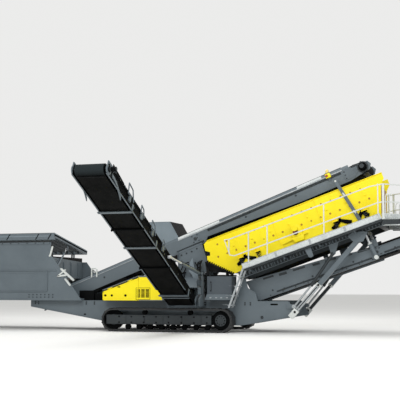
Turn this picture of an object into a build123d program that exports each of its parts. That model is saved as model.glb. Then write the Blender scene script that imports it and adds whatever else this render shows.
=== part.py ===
from build123d import *

import os
from math import cos, degrees, atan2, hypot, radians, sin, tan

# A tracked mobile screening plant, in millimetres.
# X runs along the machine, from the feed hopper (-X) to the fines conveyor (+X).
# Y runs across it: the side with the side conveyor is -Y.
# Z = 0 is the ground, and the origin lies midway between the two tracks.

# Crawler tracks
axle_distance = 3100
track_height = 650
track_gauge = 2400
shoe_width = 400
grouser_height = 25
grouser_width = 30
grouser_root = 2
chain_depth = 38
shoes_on_a_run = 18
shoes_on_an_end = 6
frame_low = 207
frame_high = 457
frame_width = 280
frame_front = -1740
frame_rear = 1278
fork_gap = 140
wheel_width = 120
roller_count = 8
roller_pitch = 327
seat_gap = 0.3
axle_radius = 40
hub_radius = 160
motor_ring_radius = 232

# Chassis
chain_clearance = 100
chassis_width = track_gauge - shoe_width - 2 * chain_clearance
chassis_plate = 20
chassis_top = 840
chassis_low = 180
chassis_front = -4295
chassis_rear = 3504
crossbeams = [(-4230, 90, 660, 800), (-2800, 160, 420, 580), (-1400, 160, 300, 500), (450, 760, 780, 840),
              (2150, 160, 500, 660), (3250, 120, 540, 700)]
track_beam_x = 900
track_beam_size = 200

# Feed hopper
hopper_front = -7950
hopper_rear = -3600
hopper_half = 1100
panel = 12
near_rim = 2500
far_rim = 1980
end_rim = 2080
chute_low = 1410
feeder_half = 520
feeder_height = 1250
feeder_front = -7600
feeder_head = -4060

# Tipping grid over the hopper, hinged along its far side
grid_hinge_y = 1168
grid_hinge_z = 2260
grid_tilt = 10.5
grid_reach = 2400
grid_front = -8110
grid_rear = -3440
grid_beam = 80
grid_hinge_arm = 70
grid_lug_radius = 45
near_beam_depth = 190
grid_depth = 120
grid_bar_count = 23
grid_bar_width = 22
hinge_stations = [-7600, -5775, -3950]
grid_pin_radius = 25
running_gap = 0.05
ram_base_y = -900
ram_base_z = 1650
ram_eye_y = -150
ram_eye_z = 2330
lug_plate = 16
grid_barrel_radius = 26
grid_barrel_length = 880
grid_rod_radius = 16
ram_pin_radius = 14

# Main conveyor, one straight run from under the hopper to above the screen
main_angle = 21.4
main_tail_x = -3900
main_tail_z = 801
main_length = 9849
main_half = 600
main_depth = 440
main_web = 10
main_belt_width = 1050
main_drum_radius = 150
belt_thickness = 12
lip_height = 70
lip_lean = 45
jog_station = 5134
jog_depth = 308
taper_end = main_length - 1782
web_end = main_length - 297
main_tie_count = 7
main_tie_start = 400
main_tie_end = main_length - 449
main_frame_start = -190
strut_station = 9060
hood_mouth_width = 880
hood_mouth_height = 300
hood_top = 3050

# Screen box
screen_angle = 19.8
screen_x = 1006
screen_z = 2490
screen_half = 800
screen_plate = 10
screen_depth = 1120
top_deck_level = -420
bottom_deck_level = -860
deck_thickness = 12
deck_tube_radius = 45
deck_tube_count = 7
spring_stations = [760, 1260, 3500, 4300]
spring_seat_level = -800
strut_foot = 4137
top_deck_span = (-150, 4800)
bottom_deck_span = (160, 4640)
end_plate_span = (3030, 3860)
spring_radius = 52
exciter_u = 2430
exciter_v = -640
exciter_radius = 110
screen_end_x = 5735

# Subframe and walkways beside the screen box
beam_top = -1130
beam_depth = 200
beam_low_y = 840
beam_high_y = 940
beam_start = 560
beam_end_x = 5790
walk_angle = 19.1
walk_x = 2154
walk_z = 1770
walk_length = 3850
walk_inner = 960
walk_outer = 1400
toe_height = 125
floor_thickness = 30
rail_section = 28
rail_height = 787
mid_rail_height = 325
platform_floor_z = 2960
platform_rear = 6400
platform_start = 5825
platform_corner = 550

# Fines conveyor at the rear
tail_angle = 18.9
tail_x = 2330
tail_z = 986
tail_length = 7684
tail_half = 650
tail_belt_width = 1100
tail_drum_radius = 125
tail_fold = 3478

# Side conveyor, hinged at its tail shaft above the near track
side_x = 490
side_angle = 24.8
side_tail_y = -1450
side_tail_z = 850
side_length = 6650
side_half = 380
side_plate = 10
side_belt_width = 650
side_drum_radius = 115
side_depth = 240
side_pin_radius = 30
side_arm_gap = 6
guard_start = side_length - 1050
guard_end = side_length - 200
return_stations = (2300, 4300)
lift_ram_x = 936
mast_pin_y = -1180
mast_pin_z = 1560
lug_station = 2522
lug_level = 38
lift_barrel_radius = 40
lift_barrel_length = 1700
lift_rod_radius = 26
lift_rod_start = 830

# Chute from the screen to the side conveyor
chute_angle = 28
chute_length = 650
chute_span = (240, 860)

# Support legs
leg_y = 975
leg_foot = (3456, 523)
leg_head = (5218, 2497)
leg_outer = 120
leg_inner = 90
leg_split = 0.37

# Power pack
canopy_half = 1200
panel_thickness = 25
panel_gap = 5
canopy_outline = [(-1924, 840), (-1924, 1134), (-845, 1525), (-389, 1525), (-112, 840)]
door_edge = -850
hinge_drop = 30


def slope(x, z, angle):
    """A plane on the centreline: local x climbs to the rear, local y is square to the slope."""
    a = radians(angle)
    return Plane(origin=(x, 0, z), x_dir=(cos(a), 0, sin(a)), z_dir=(0, -1, 0))


def slab(base, points, low, high):
    """An outline drawn on a base plane and given its thickness from low to high across it."""
    with BuildSketch(base.offset(-high)) as profile:
        with BuildLine():
            Polyline(*points, close=True)
        make_face()
    extrude(profile.sketch, amount=high - low)


def block(base, x_low, x_high, y_low, y_high, low, high):
    """A rectangular slab."""
    slab(base, [(x_low, y_low), (x_high, y_low), (x_high, y_high), (x_low, y_high)], low, high)


def rounds(base, centres, radius, low, high, mode=Mode.ADD):
    """Round bars across a base plane."""
    with BuildSketch(base.offset(-high)) as profile:
        with Locations(*centres):
            Circle(radius)
    extrude(profile.sketch, amount=high - low, mode=mode)


def rod(start, end, radius):
    """A round bar from one point to another."""
    start, end = Vector(*start), Vector(*end)
    with BuildSketch(Plane(origin=start, z_dir=end - start)) as profile:
        Circle(radius)
    extrude(profile.sketch, amount=(end - start).length)


def stroke(points, width):
    """A bent bar of even width along a list of points, drawn in the current sketch."""
    for (x1, y1), (x2, y2) in zip(points, points[1:]):
        with Locations(Location(((x1 + x2) / 2, (y1 + y2) / 2), degrees(atan2(y2 - y1, x2 - x1)))):
            Rectangle(hypot(x2 - x1, y2 - y1) + width, width)


def belt(base, length, radius, width, thickness):
    """One closed loop of belt round two drums."""
    with BuildSketch(base.offset(-width / 2)) as profile:
        with Locations((length / 2, 0)):
            SlotCenterToCenter(length, 2 * (radius + thickness))
            SlotCenterToCenter(length, 2 * radius, mode=Mode.SUBTRACT)
    extrude(profile.sketch, amount=width)


def drums(base, centres, radius, face, inner_gap):
    """Drums whose shafts run out to the inner faces of the side frames."""
    rounds(base, centres, radius - seat_gap, -face / 2, face / 2)
    shaft_half = inner_gap / 2 - seat_gap
    rounds(base, centres, axle_radius, -shaft_half, shaft_half)


world = Plane.XZ
mirrored = (-1, 1)

# Crawler tracks
track_radius = track_height / 2
chain_outer = track_radius - grouser_height
chain_inner = chain_outer - chain_depth
axle_height = track_radius
grouser_depth = grouser_height + grouser_root
pieces = {}

with BuildPart() as track_chains:
    for side in mirrored:
        middle = side * track_gauge / 2
        with BuildSketch(world.offset(-(middle + shoe_width / 2))):
            with Locations((0, axle_height)):
                SlotCenterToCenter(axle_distance, 2 * chain_outer)
            for run_height in (grouser_depth / 2, track_height - grouser_depth / 2):
                with Locations((0, run_height)):
                    with GridLocations(axle_distance / shoes_on_a_run, 1, shoes_on_a_run, 1):
                        Rectangle(grouser_width, grouser_depth)
            for end in mirrored:
                first = -75 if end > 0 else 105
                with Locations((end * axle_distance / 2, axle_height)):
                    with PolarLocations(track_radius - grouser_depth / 2, shoes_on_an_end, first, 150,
                                        endpoint=True):
                        Rectangle(grouser_depth, grouser_width)
            with Locations((0, axle_height)):
                SlotCenterToCenter(axle_distance, 2 * chain_inner, mode=Mode.SUBTRACT)
        extrude(amount=shoe_width)
pieces["track_chains"] = track_chains

with BuildPart() as track_frames:
    for side in mirrored:
        middle = side * track_gauge / 2
        low, high = middle - frame_width / 2, middle + frame_width / 2
        block(world, frame_front, frame_rear, frame_low, frame_high, low, high)
        inner = sorted((middle - side * frame_width / 2, middle - side * fork_gap / 2))
        block(world, frame_rear - 200, axle_distance / 2 + 80, frame_low + 30, frame_high - 30, *inner)
        with BuildSketch(Plane.XY.offset(frame_low)):
            with Locations((frame_front, middle)):
                Rectangle(2 * (-axle_distance / 2 + chain_inner + 30 - frame_front), fork_gap)
        extrude(amount=frame_high - frame_low, mode=Mode.SUBTRACT)
pieces["track_frames"] = track_frames

with BuildPart() as track_wheels:
    wheel_radius = chain_inner - seat_gap
    bottom_radius = (frame_low - (axle_height - chain_inner)) / 2 - seat_gap
    top_radius = (axle_height + chain_inner - frame_high) / 2 - seat_gap
    for side in mirrored:
        middle = side * track_gauge / 2
        half = wheel_width / 2
        axle_half = fork_gap / 2 - seat_gap
        idler, sprocket = (-axle_distance / 2, axle_height), (axle_distance / 2, axle_height)
        rounds(world, [idler, sprocket], wheel_radius, middle - half, middle + half)
        rounds(world, [idler, sprocket], axle_radius, middle - axle_half, middle + axle_half)
        hub = sorted((middle + side * half, middle + side * (shoe_width / 2 - 30)))
        rounds(world, [sprocket], motor_ring_radius,
               *sorted((middle + side * half, middle + side * (half + 50))))
        with BuildSketch(world.offset(-hub[1])):
            with Locations(sprocket):
                RegularPolygon(hub_radius, 8, rotation=22.5)
        extrude(amount=hub[1] - hub[0])
        bottom = [(roller_pitch * (i - (roller_count - 1) / 2),
                   axle_height - chain_inner + seat_gap + bottom_radius) for i in range(roller_count)]
        rounds(world, bottom, bottom_radius, middle - half, middle + half)
        top = [(x, frame_high + seat_gap + top_radius) for x in (-roller_pitch * 2, roller_pitch * 2)]
        rounds(world, top, top_radius, middle - half, middle + half)
pieces["track_wheels"] = track_wheels

# Chassis
plate_outer = chassis_width / 2
plate_inner = plate_outer - chassis_plate
frame_inner_face = track_gauge / 2 - frame_width / 2
with BuildPart() as chassis_side_plates:
    for side in mirrored:
        low, high = sorted((side * plate_inner, side * plate_outer))
        with BuildSketch(world.offset(-high)):
            with BuildLine():
                Polyline((chassis_front, chassis_top), (chassis_front, 656), (-2084, 280),
                         (-1500, chassis_low), (1988, chassis_low), (chassis_rear, 440),
                         (chassis_rear, 473), (3387, 709), (3295, chassis_top), close=True)
            make_face()
            fillet(vertices().group_by(Axis.Y)[-1].sort_by(Axis.X)[-1], 60)
            with Locations((2900, 752)):
                SlotOverall(210, 45, mode=Mode.SUBTRACT)
            with Locations((-2590, 449)):
                SlotOverall(80, 40, mode=Mode.SUBTRACT)
            with Locations((2564, 405)):
                Circle(45, mode=Mode.SUBTRACT)
        extrude(amount=high - low)
pieces["chassis_side_plates"] = chassis_side_plates

with BuildPart() as chassis_crossbeams:
    for x, width, low_z, high_z in crossbeams:
        block(world, x - width / 2, x + width / 2, low_z, high_z, -plate_inner, plate_inner)
    for x in (-track_beam_x, track_beam_x):
        half = track_beam_size / 2
        middle_z = (frame_low + frame_high) / 2
        block(world, x - half, x + half, middle_z - half, middle_z + half, -plate_inner, plate_inner)
        for side in mirrored:
            low, high = sorted((side * plate_outer, side * frame_inner_face))
            block(world, x - half, x + half, middle_z - half, middle_z + half, low, high)
pieces["chassis_crossbeams"] = chassis_crossbeams

# Feed hopper: outer panels, end walls and the sloping plates that lead to the feeder
with BuildPart() as hopper_sides:
    for side, rim in ((-1, near_rim), (1, far_rim)):
        low, high = sorted((side * hopper_half, side * (hopper_half + panel)))
        slab(world, [(hopper_front, rim), (hopper_front, 1500), (-7300, chassis_top), (-2600, chassis_top),
                     (hopper_rear + 20, min(rim, 2139)), (hopper_rear + 20,
                                                          rim)] if rim > 2139 else [(hopper_front, rim),
                                                                                    (hopper_front, 1500),
                                                                                    (-7300, chassis_top),
                                                                                    (-2600, chassis_top),
                                                                                    (hopper_rear + 20
                                                                                     + (2139 - rim) * 0.78,
                                                                                     rim)], low, high)
        recess = sorted((side * (hopper_half + panel / 2), side * (hopper_half + panel)))
        with BuildSketch(world.offset(-recess[1])):
            with Locations((-5582, 1342)):
                Rectangle(3635, 551)
        extrude(amount=panel / 2, mode=Mode.SUBTRACT)
    for side in mirrored:
        low, high = sorted((side * plate_inner, side * hopper_half))
        for x in (-4250, -3400, -2750):
            block(world, x, x + 120, chassis_top, chassis_top + 60, low, high)
    panel_face = hopper_half + panel
    for x in hinge_stations:
        for plate_x in (x - 45, x + 25):
            with BuildSketch(Plane.YZ.offset(plate_x)) as ear:
                with BuildLine():
                    Polyline((panel_face, far_rim - 250), (panel_face + 30, far_rim - 250),
                             (grid_hinge_y + grid_lug_radius, grid_hinge_z),
                             (grid_hinge_y - grid_lug_radius, grid_hinge_z), (panel_face, far_rim - 30),
                             close=True)
                make_face()
                with Locations((grid_hinge_y, grid_hinge_z)):
                    Circle(grid_lug_radius)
            extrude(ear.sketch, amount=20)
        rod((x - 30, grid_hinge_y, grid_hinge_z), (x + 30, grid_hinge_y, grid_hinge_z), grid_pin_radius)
pieces["hopper_sides"] = hopper_sides

ram_stations = [(hopper_front - 38, 1), (hopper_rear + panel + 34, -1)]
ram_eye = (ram_eye_y, ram_eye_z)
ram_base = (ram_base_y, ram_base_z)
with BuildPart() as hopper_end_walls:
    yz = Plane.YZ
    for x, low_z in ((hopper_front, 1500), (hopper_rear, 1480)):
        with BuildSketch(yz.offset(x)):
            with BuildLine():
                Polyline((-hopper_half, low_z), (hopper_half, low_z), (hopper_half, far_rim),
                         (-hopper_half, end_rim), close=True)
            make_face()
        extrude(amount=panel)
    for x, wall_side in ram_stations:
        wall_face = hopper_front if wall_side > 0 else hopper_rear + panel
        with BuildSketch(yz.offset(min(wall_face, x - wall_side * 24))) as pin:
            with Locations(ram_base):
                Circle(ram_pin_radius)
        extrude(pin.sketch, amount=abs(wall_face - x + wall_side * 24))
pieces["hopper_end_walls"] = hopper_end_walls

chute_front = hopper_front + panel
chute_rear = hopper_rear
with BuildPart() as hopper_chutes:
    for side, rim in ((-1, near_rim - 60), (1, far_rim - 60)):
        with BuildSketch(Plane.YZ.offset(chute_front)):
            with BuildLine():
                Polyline((side * (feeder_half + 20), chute_low),
                         (side * (feeder_half + 20), chute_low + 16), (side * hopper_half, rim),
                         (side * hopper_half, rim - 20), (side * (feeder_half + 35), chute_low), close=True)
            make_face()
        extrude(amount=chute_rear - chute_front)
pieces["hopper_chutes"] = hopper_chutes

feeder = Plane(origin=(feeder_front, 0, feeder_height), x_dir=(1, 0, 0), z_dir=(0, -1, 0))
feeder_length = feeder_head - feeder_front
with BuildPart() as feeder_belt:
    belt(feeder, feeder_length, 130, 2 * feeder_half - 20, belt_thickness)
pieces["feeder_belt"] = feeder_belt

with BuildPart() as feeder_drums:
    drums(feeder, [(0, 0), (feeder_length, 0)], 130, 2 * feeder_half - 10, 2 * (feeder_half + 20))
pieces["feeder_drums"] = feeder_drums

with BuildPart() as feeder_frame:
    for side in mirrored:
        low, high = sorted((side * (feeder_half + 20), side * (feeder_half + 35)))
        block(world, feeder_front - 150, feeder_head + 100, feeder_height - 100, chute_low, low, high)
    for x in (-7000, -5800, -4600):
        block(world, x - 50, x + 50, feeder_height - 250, feeder_height - 150, -hopper_half, hopper_half)
        for side in mirrored:
            low, high = sorted((side * (feeder_half + 20), side * (feeder_half + 35)))
            block(world, x - 50, x + 50, feeder_height - 200, feeder_height - 50, low, high)
pieces["feeder_frame"] = feeder_frame

# Tipping grid: local x runs from the far hinge to the near side, local y is square to the grid
tilt = radians(grid_tilt)
grid = Plane(origin=(0, grid_hinge_y, grid_hinge_z), x_dir=(0, -cos(tilt), sin(tilt)), z_dir=(-1, 0, 0))
grid_half = grid_depth / 2
with BuildPart() as grid_side_beams:
    block(grid, grid_reach - grid_beam, grid_reach, grid_half - near_beam_depth, grid_half, grid_front,
          grid_rear)
    far_edge = grid_hinge_arm + grid_beam
    block(grid, grid_hinge_arm, far_edge, -grid_half, grid_half, grid_front, grid_rear)
    for x in hinge_stations:
        with BuildSketch(grid.offset(-(x + 15))) as lug:
            with Locations((grid_hinge_arm / 2, 0)):
                Rectangle(grid_hinge_arm + 4, 2 * grid_lug_radius)
            Circle(grid_lug_radius)
            Circle(grid_pin_radius + running_gap, mode=Mode.SUBTRACT)
        extrude(lug.sketch, amount=30)
pieces["grid_side_beams"] = grid_side_beams

with BuildPart() as grid_end_beams:
    for x in (grid_front, grid_rear - grid_beam):
        block(grid, far_edge, grid_reach - grid_beam, -grid_half, grid_half, x, x + grid_beam)
    eye = grid.to_local_coords(Vector(0, *ram_eye))
    for low, high in ((grid_front + grid_beam - lug_plate, grid_front + grid_beam),
                      (grid_rear - grid_beam, grid_rear - grid_beam + lug_plate)):
        slab(grid, [(eye.X - 60, -grid_half), (eye.X - 35, eye.Y - 35), (eye.X + 35, eye.Y - 35),
                    (eye.X + 60, -grid_half)], low, high)
pieces["grid_end_beams"] = grid_end_beams

bar_first, bar_last = hopper_front + 110, hopper_rear - 90
bar_pitch = (bar_last - bar_first) / (grid_bar_count - 1)
with BuildPart() as grid_bars:
    for i in range(grid_bar_count):
        x = bar_first + i * bar_pitch
        block(grid, far_edge, grid_reach - grid_beam, -grid_half + 20, grid_half, x - grid_bar_width / 2,
              x + grid_bar_width / 2)
pieces["grid_bars"] = grid_bars

ram_length = hypot(ram_eye_y - ram_base_y, ram_eye_z - ram_base_z)
ram_along = ((ram_eye_y - ram_base_y) / ram_length, (ram_eye_z - ram_base_z) / ram_length)


def along(base, direction, distance):
    """The point of the cross plane at a distance from the base of a ram."""
    return base[0] + direction[0] * distance, base[1] + direction[1] * distance


def barrel(x, base, direction, length, radius, bore, pin_radius, eye_width):
    """A ram barrel, open at its far end, with an eye that turns on a pin at its base."""
    rod((x, *base), (x, *along(base, direction, length)), radius)
    with BuildSketch(Plane(origin=(x, *along(base, direction, length)), z_dir=(0, *direction))) as hollow:
        Circle(bore)
    extrude(hollow.sketch, amount=-(length - pin_radius - 60), mode=Mode.SUBTRACT)
    with BuildSketch(Plane.YZ.offset(x - eye_width / 2)) as eye:
        with Locations(base):
            Circle(radius + 4)
    extrude(eye.sketch, amount=eye_width)
    with BuildSketch(Plane.YZ.offset(x - radius)) as hole:
        with Locations(base):
            Circle(pin_radius + running_gap)
    extrude(hole.sketch, amount=2 * radius, mode=Mode.SUBTRACT)


with BuildPart() as grid_ram_barrels:
    for x, wall_side in ram_stations:
        barrel(x, ram_base, ram_along, grid_barrel_length, grid_barrel_radius, grid_rod_radius + 1,
               ram_pin_radius, 40)
pieces["grid_ram_barrels"] = grid_ram_barrels

with BuildPart() as grid_ram_rods:
    for x, wall_side in ram_stations:
        rod((x, *along(ram_base, ram_along, 90)), (x, *ram_eye), grid_rod_radius)
        with BuildSketch(Plane.YZ.offset(x - 11)) as eye:
            with Locations(ram_eye):
                Circle(28)
        extrude(eye.sketch, amount=22)
pieces["grid_ram_rods"] = grid_ram_rods

# Main conveyor
main = slope(main_tail_x, main_tail_z, main_angle)
main_inner = 2 * (main_half - main_web)
with BuildPart() as main_frame:
    half_depth = main_depth / 2
    web_top = half_depth - lip_height
    for side in mirrored:
        low, high = sorted((side * (main_half - main_web), side * main_half))
        slab(main, [(main_frame_start, -half_depth), (jog_station - 60, -half_depth),
                    (jog_station + 60, half_depth - jog_depth), (taper_end, -half_depth),
                    (web_end - 150, -half_depth), (main_length + 150, -120), (main_length + 230, 0),
                    (main_length + 170, 110), (web_end, 120), (web_end - 60, web_top),
                    (main_frame_start, web_top)], low, high)
        lip_plane = Plane(origin=main.from_local_coords((main_frame_start, 0, 0)), x_dir=(0, 1, 0),
                          z_dir=main.x_dir)
        with BuildSketch(lip_plane) as lip:
            with BuildLine():
                outer, thin = side * main_half, side * main_web
                Polyline((outer, web_top), (outer - thin, web_top),
                         (outer - thin - side * lip_lean, half_depth),
                         (outer - side * lip_lean, half_depth), close=True)
            make_face()
        extrude(lip.sketch, amount=web_end - 60 - main_frame_start)
    main_tie_pitch = (main_tie_end - main_tie_start) / (main_tie_count - 1)
    rounds(main, [(main_tie_start + i * main_tie_pitch, 0) for i in range(main_tie_count)], 38,
           -main_inner / 2, main_inner / 2)
pieces["main_frame"] = main_frame

with BuildPart() as main_belt:
    belt(main, main_length, main_drum_radius, main_belt_width, belt_thickness)
pieces["main_belt"] = main_belt


def idlers(base, length, radius, idler_radius, count, return_stations, inner_gap):
    """Carrying rollers under the upper run and return rollers under the lower run."""
    half = inner_gap / 2 - seat_gap
    carry = [((i + 0.5) * length / count, radius - seat_gap - idler_radius) for i in range(count)]
    back = [(station, -radius - belt_thickness - seat_gap - idler_radius) for station in return_stations]
    rounds(base, carry + back, idler_radius, -half, half)


with BuildPart() as main_rollers:
    drums(main, [(0, 0), (main_length, 0)], main_drum_radius, main_belt_width + 10, main_inner)
    idlers(main, main_length, main_drum_radius, 28, 6, (2400, 4900, 8400), main_inner)
pieces["main_rollers"] = main_rollers

with BuildPart() as belt_hood:
    lip_middle = main_half - main_web / 2 - lip_lean
    hood_feet = [main.to_local_coords(Vector(x, 0, 0)).X for x in (-1150, 92)]
    main_top = slope(0, main_tail_z - main_tail_x * tan(radians(main_angle)) + half_depth
                     / cos(radians(main_angle)), main_angle)
    foot = [(x, x * tan(radians(main_angle)) + main_top.origin.Z) for x in (-1210, 92)]
    outline = [foot[0], foot[1], (-160, hood_top), (-1020, hood_top)]
    slab(world, outline, -lip_middle - 4, lip_middle + 4)
    inner = [(foot[0][0] - 60, foot[0][1] - 200), (foot[1][0] + 60, foot[1][1] - 200),
             (foot[1][0] - 15, foot[1][1]), (-168, hood_top - 8), (-1012, hood_top - 8),
             (foot[0][0] + 10, foot[0][1])]
    with BuildSketch(world.offset(-lip_middle + 4)) as hollow:
        with BuildLine():
            Polyline(*inner, close=True)
        make_face()
    extrude(hollow.sketch, amount=2 * (lip_middle - 4), mode=Mode.SUBTRACT)
    with BuildSketch(main.offset(-hood_mouth_width / 2)) as mouth:
        with Locations((sum(hood_feet) / 2, half_depth)):
            Rectangle(2 * (hood_feet[1] - hood_feet[0]), 2 * hood_mouth_height)
    extrude(mouth.sketch, amount=hood_mouth_width, mode=Mode.SUBTRACT)
pieces["belt_hood"] = belt_hood

with BuildPart() as drive_motors:
    rounds(main, [(main_length, 0)], 85, -main_half - 240, -main_half)
    rounds(main, [(main_length, 0)], 110, -main_half - 90, -main_half)
    tail_run = slope(tail_x, tail_z, tail_angle)
    rounds(tail_run, [(tail_length, 0)], 80, -tail_half - 200, -tail_half)
    rounds(feeder, [(feeder_length, 0)], 75, -feeder_half - 230, -feeder_half - 35)
pieces["drive_motors"] = drive_motors

with BuildPart() as gantry_plates:
    for side in mirrored:
        low, high = sorted((side * main_half, side * (main_half + 15)))
        slab(world, [(150, chassis_top), (101, 2190), (790, 2450), (960, 1908), (960, 1671), (813, 1489),
                     (700, chassis_top)], low, high)
pieces["gantry_plates"] = gantry_plates

# Screen box: local x climbs the decks, local y is square to them, and zero is the plates' upper left corner
screen = slope(screen_x, screen_z, screen_angle)
screen_tan = tan(radians(screen_angle))


def on_screen(x, z):
    """Place of a side-view point on the screen's own plane."""
    p = screen.to_local_coords(Vector(x, 0, z))
    return p.X, p.Y


end_top, end_low = on_screen(5752, 3880), on_screen(5752, 3008)
side_outline = [(-123, -63), (0, 0), (5071, 0), (5068, -170), end_top, end_low, (412, -screen_depth),
                (140, -860), (-184, -551), (-150, -400), (-60, -420), (-30, -330), (-145, -250)]
with BuildPart() as screen_side_plates:
    for side in mirrored:
        low, high = sorted((side * (screen_half - screen_plate), side * screen_half))
        slab(screen, side_outline, low, high)
        low, high = sorted((side * screen_half, side * (screen_half + 160)))
        for u in spring_stations:
            block(screen, u - 75, u + 75, spring_seat_level, spring_seat_level + 18, low, high)
            for rib in (u - 66, u + 54):
                rib_high = sorted((side * screen_half, side * (screen_half + 120)))
                block(screen, rib, rib + 12, spring_seat_level + 18, spring_seat_level + 110, *rib_high)
        rib_low, rib_high = sorted((side * screen_half, side * (screen_half + 22)))
        for u in (1900, 3150):
            block(screen, u - 6, u + 6, -1040, -60, rib_low, rib_high)
pieces["screen_side_plates"] = screen_side_plates

screen_inner = screen_half - screen_plate
with BuildPart() as screen_cross_tubes:
    for level, first, last in ((top_deck_level, 0, top_deck_span[1] - 100),
                               (bottom_deck_level, 300, bottom_deck_span[1] - 80)):
        pitch = (last - first) / (deck_tube_count - 1)
        centres = [(first + i * pitch, level - deck_tube_radius - seat_gap) for i in range(deck_tube_count)]
        rounds(screen, centres, deck_tube_radius, -screen_inner, screen_inner)
pieces["screen_cross_tubes"] = screen_cross_tubes

deck_half = screen_inner - seat_gap
with BuildPart() as screen_decks:
    block(screen, *top_deck_span, top_deck_level, top_deck_level + deck_thickness, -deck_half, deck_half)
    block(screen, *bottom_deck_span, bottom_deck_level, bottom_deck_level + deck_thickness, -deck_half,
          deck_half)
pieces["screen_decks"] = screen_decks

with BuildPart() as screen_end_plate:
    block(world, screen_end_x - 10, screen_end_x, *end_plate_span, -deck_half, deck_half)
pieces["screen_end_plate"] = screen_end_plate

with BuildPart() as exciter:
    rounds(screen, [(exciter_u, exciter_v)], exciter_radius, -screen_inner, screen_inner)
    for side in mirrored:
        low, high = sorted((side * screen_half, side * (screen_half + 110)))
        with BuildSketch(screen.offset(-high)) as housing:
            with Locations((exciter_u, exciter_v)):
                Circle(175)
            with BuildLine():
                Polyline((exciter_u - 175, exciter_v), (exciter_u + 175, exciter_v),
                         (exciter_u + 90, exciter_v - 300), (exciter_u - 90, exciter_v - 300), close=True)
            make_face()
        extrude(housing.sketch, amount=high - low)
    rounds(screen, [(exciter_u, exciter_v + 60)], 75, -screen_half - 230, -screen_half - 110)
pieces["exciter"] = exciter

# Subframe that carries the screen box on springs
beam_low = beam_top - beam_depth
beam_middle_y = (beam_low_y + beam_high_y) / 2
with BuildPart() as subframe:
    def end_point(level):
        """Where a level of the sloping beam meets its vertical rear end."""
        a = radians(screen_angle)
        return (beam_end_x - screen_x + level * sin(a)) / cos(a), level

    for side in mirrored:
        low, high = sorted((side * beam_low_y, side * beam_high_y))
        slab(screen, [(beam_start, beam_low), end_point(beam_low), end_point(beam_top),
                      (beam_start, beam_top)], low, high)
    for u in (beam_start + 60, 4560):
        block(screen, u - 60, u + 60, beam_low, beam_top - 40, -beam_low_y, beam_low_y)
pieces["subframe"] = subframe

with BuildPart() as screen_springs:
    for side in mirrored:
        for u in spring_stations:
            across = Plane(origin=screen.from_local_coords((u, beam_top, -side * beam_middle_y)),
                           x_dir=screen.x_dir, z_dir=screen.y_dir)
            spring_length = spring_seat_level - beam_top
            with BuildSketch(across) as foot_pad:
                Circle(spring_radius + 12)
            extrude(foot_pad.sketch, amount=20)
            with BuildSketch(across.offset(20)) as coil:
                Circle(spring_radius)
            extrude(coil.sketch, amount=spring_length - 40)
            with BuildSketch(across.offset(spring_length - 20)) as head_pad:
                Circle(spring_radius + 12)
            extrude(head_pad.sketch, amount=20)
pieces["screen_springs"] = screen_springs

# Plates under the decks that lead the fines to the conveyor below
with BuildPart() as fines_plates:
    cross = Plane(origin=screen.from_local_coords((700, 0, 0)), x_dir=(0, 1, 0), z_dir=screen.x_dir)
    for side in mirrored:
        with BuildSketch(cross) as plate:
            with BuildLine():
                Polyline((side * beam_low_y, beam_top - 20), (side * beam_low_y, beam_top - 40),
                         (side * 600, -1400), (side * 590, -1388), close=True)
            make_face()
        extrude(plate.sketch, amount=3250)
pieces["fines_plates"] = fines_plates

with BuildPart() as discharge_chute:
    chute_fall = radians(chute_angle)
    chute_run = Plane(origin=(0, -main_half - 30, 1500), x_dir=(0, -cos(chute_fall), -sin(chute_fall)),
                      z_dir=(-1, 0, 0))
    block(chute_run, 0, chute_length, 0, 10, *chute_span)
    for low in (chute_span[0], chute_span[1] - 10):
        block(chute_run, 0, chute_length, 10, 200, low, low + 10)
    block(world, 300, 640, 1300, 1500, -main_half - 45, -main_half - 15)
pieces["discharge_chute"] = discharge_chute

tail = slope(tail_x, tail_z, tail_angle)
beam_line = slope(screen.from_local_coords((0, beam_low, 0)).X,
                  screen.from_local_coords((0, beam_low, 0)).Z, screen_angle)


def beam_bottom(x):
    """Height of the sloping beam's underside."""
    return beam_line.origin.Z + (x - beam_line.origin.X) * screen_tan


with BuildPart() as subframe_posts:
    for side in mirrored:
        low, high = sorted((side * (plate_outer - 30), side * plate_outer))
        slab(world, [(1830, chassis_top), (2450, chassis_top), (2390, 1060), (2180, 1190),
                     (2110, beam_bottom(2110)), (1980, beam_bottom(1980)), (1950, 1200)], low, high)
        low, high = sorted((side * tail_half, side * (plate_outer - 30)))
        rounds(tail, [(0, 0)], axle_radius, low, high)
pieces["subframe_posts"] = subframe_posts

# Walkways beside the screen box and the platform round its rear end
walk = slope(walk_x, walk_z, walk_angle)
toe_half = toe_height / 2
with BuildPart() as walkways:
    for side in mirrored:
        low, high = sorted((side * walk_inner, side * walk_outer))
        block(walk, 0, walk_length, -toe_half - floor_thickness, -toe_half, low, high)
        low, high = sorted((side * (walk_outer - 12), side * walk_outer))
        block(walk, 0, walk_length, -toe_half, toe_half, low, high)
        low, high = sorted((side * beam_high_y, side * (walk_outer - 20)))
        for station in (120, 1100, 2080, 3060):
            block(walk, station, station + 60, -toe_half - floor_thickness - 60,
                  -toe_half - floor_thickness, low, high)
pieces["walkways"] = walkways

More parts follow.
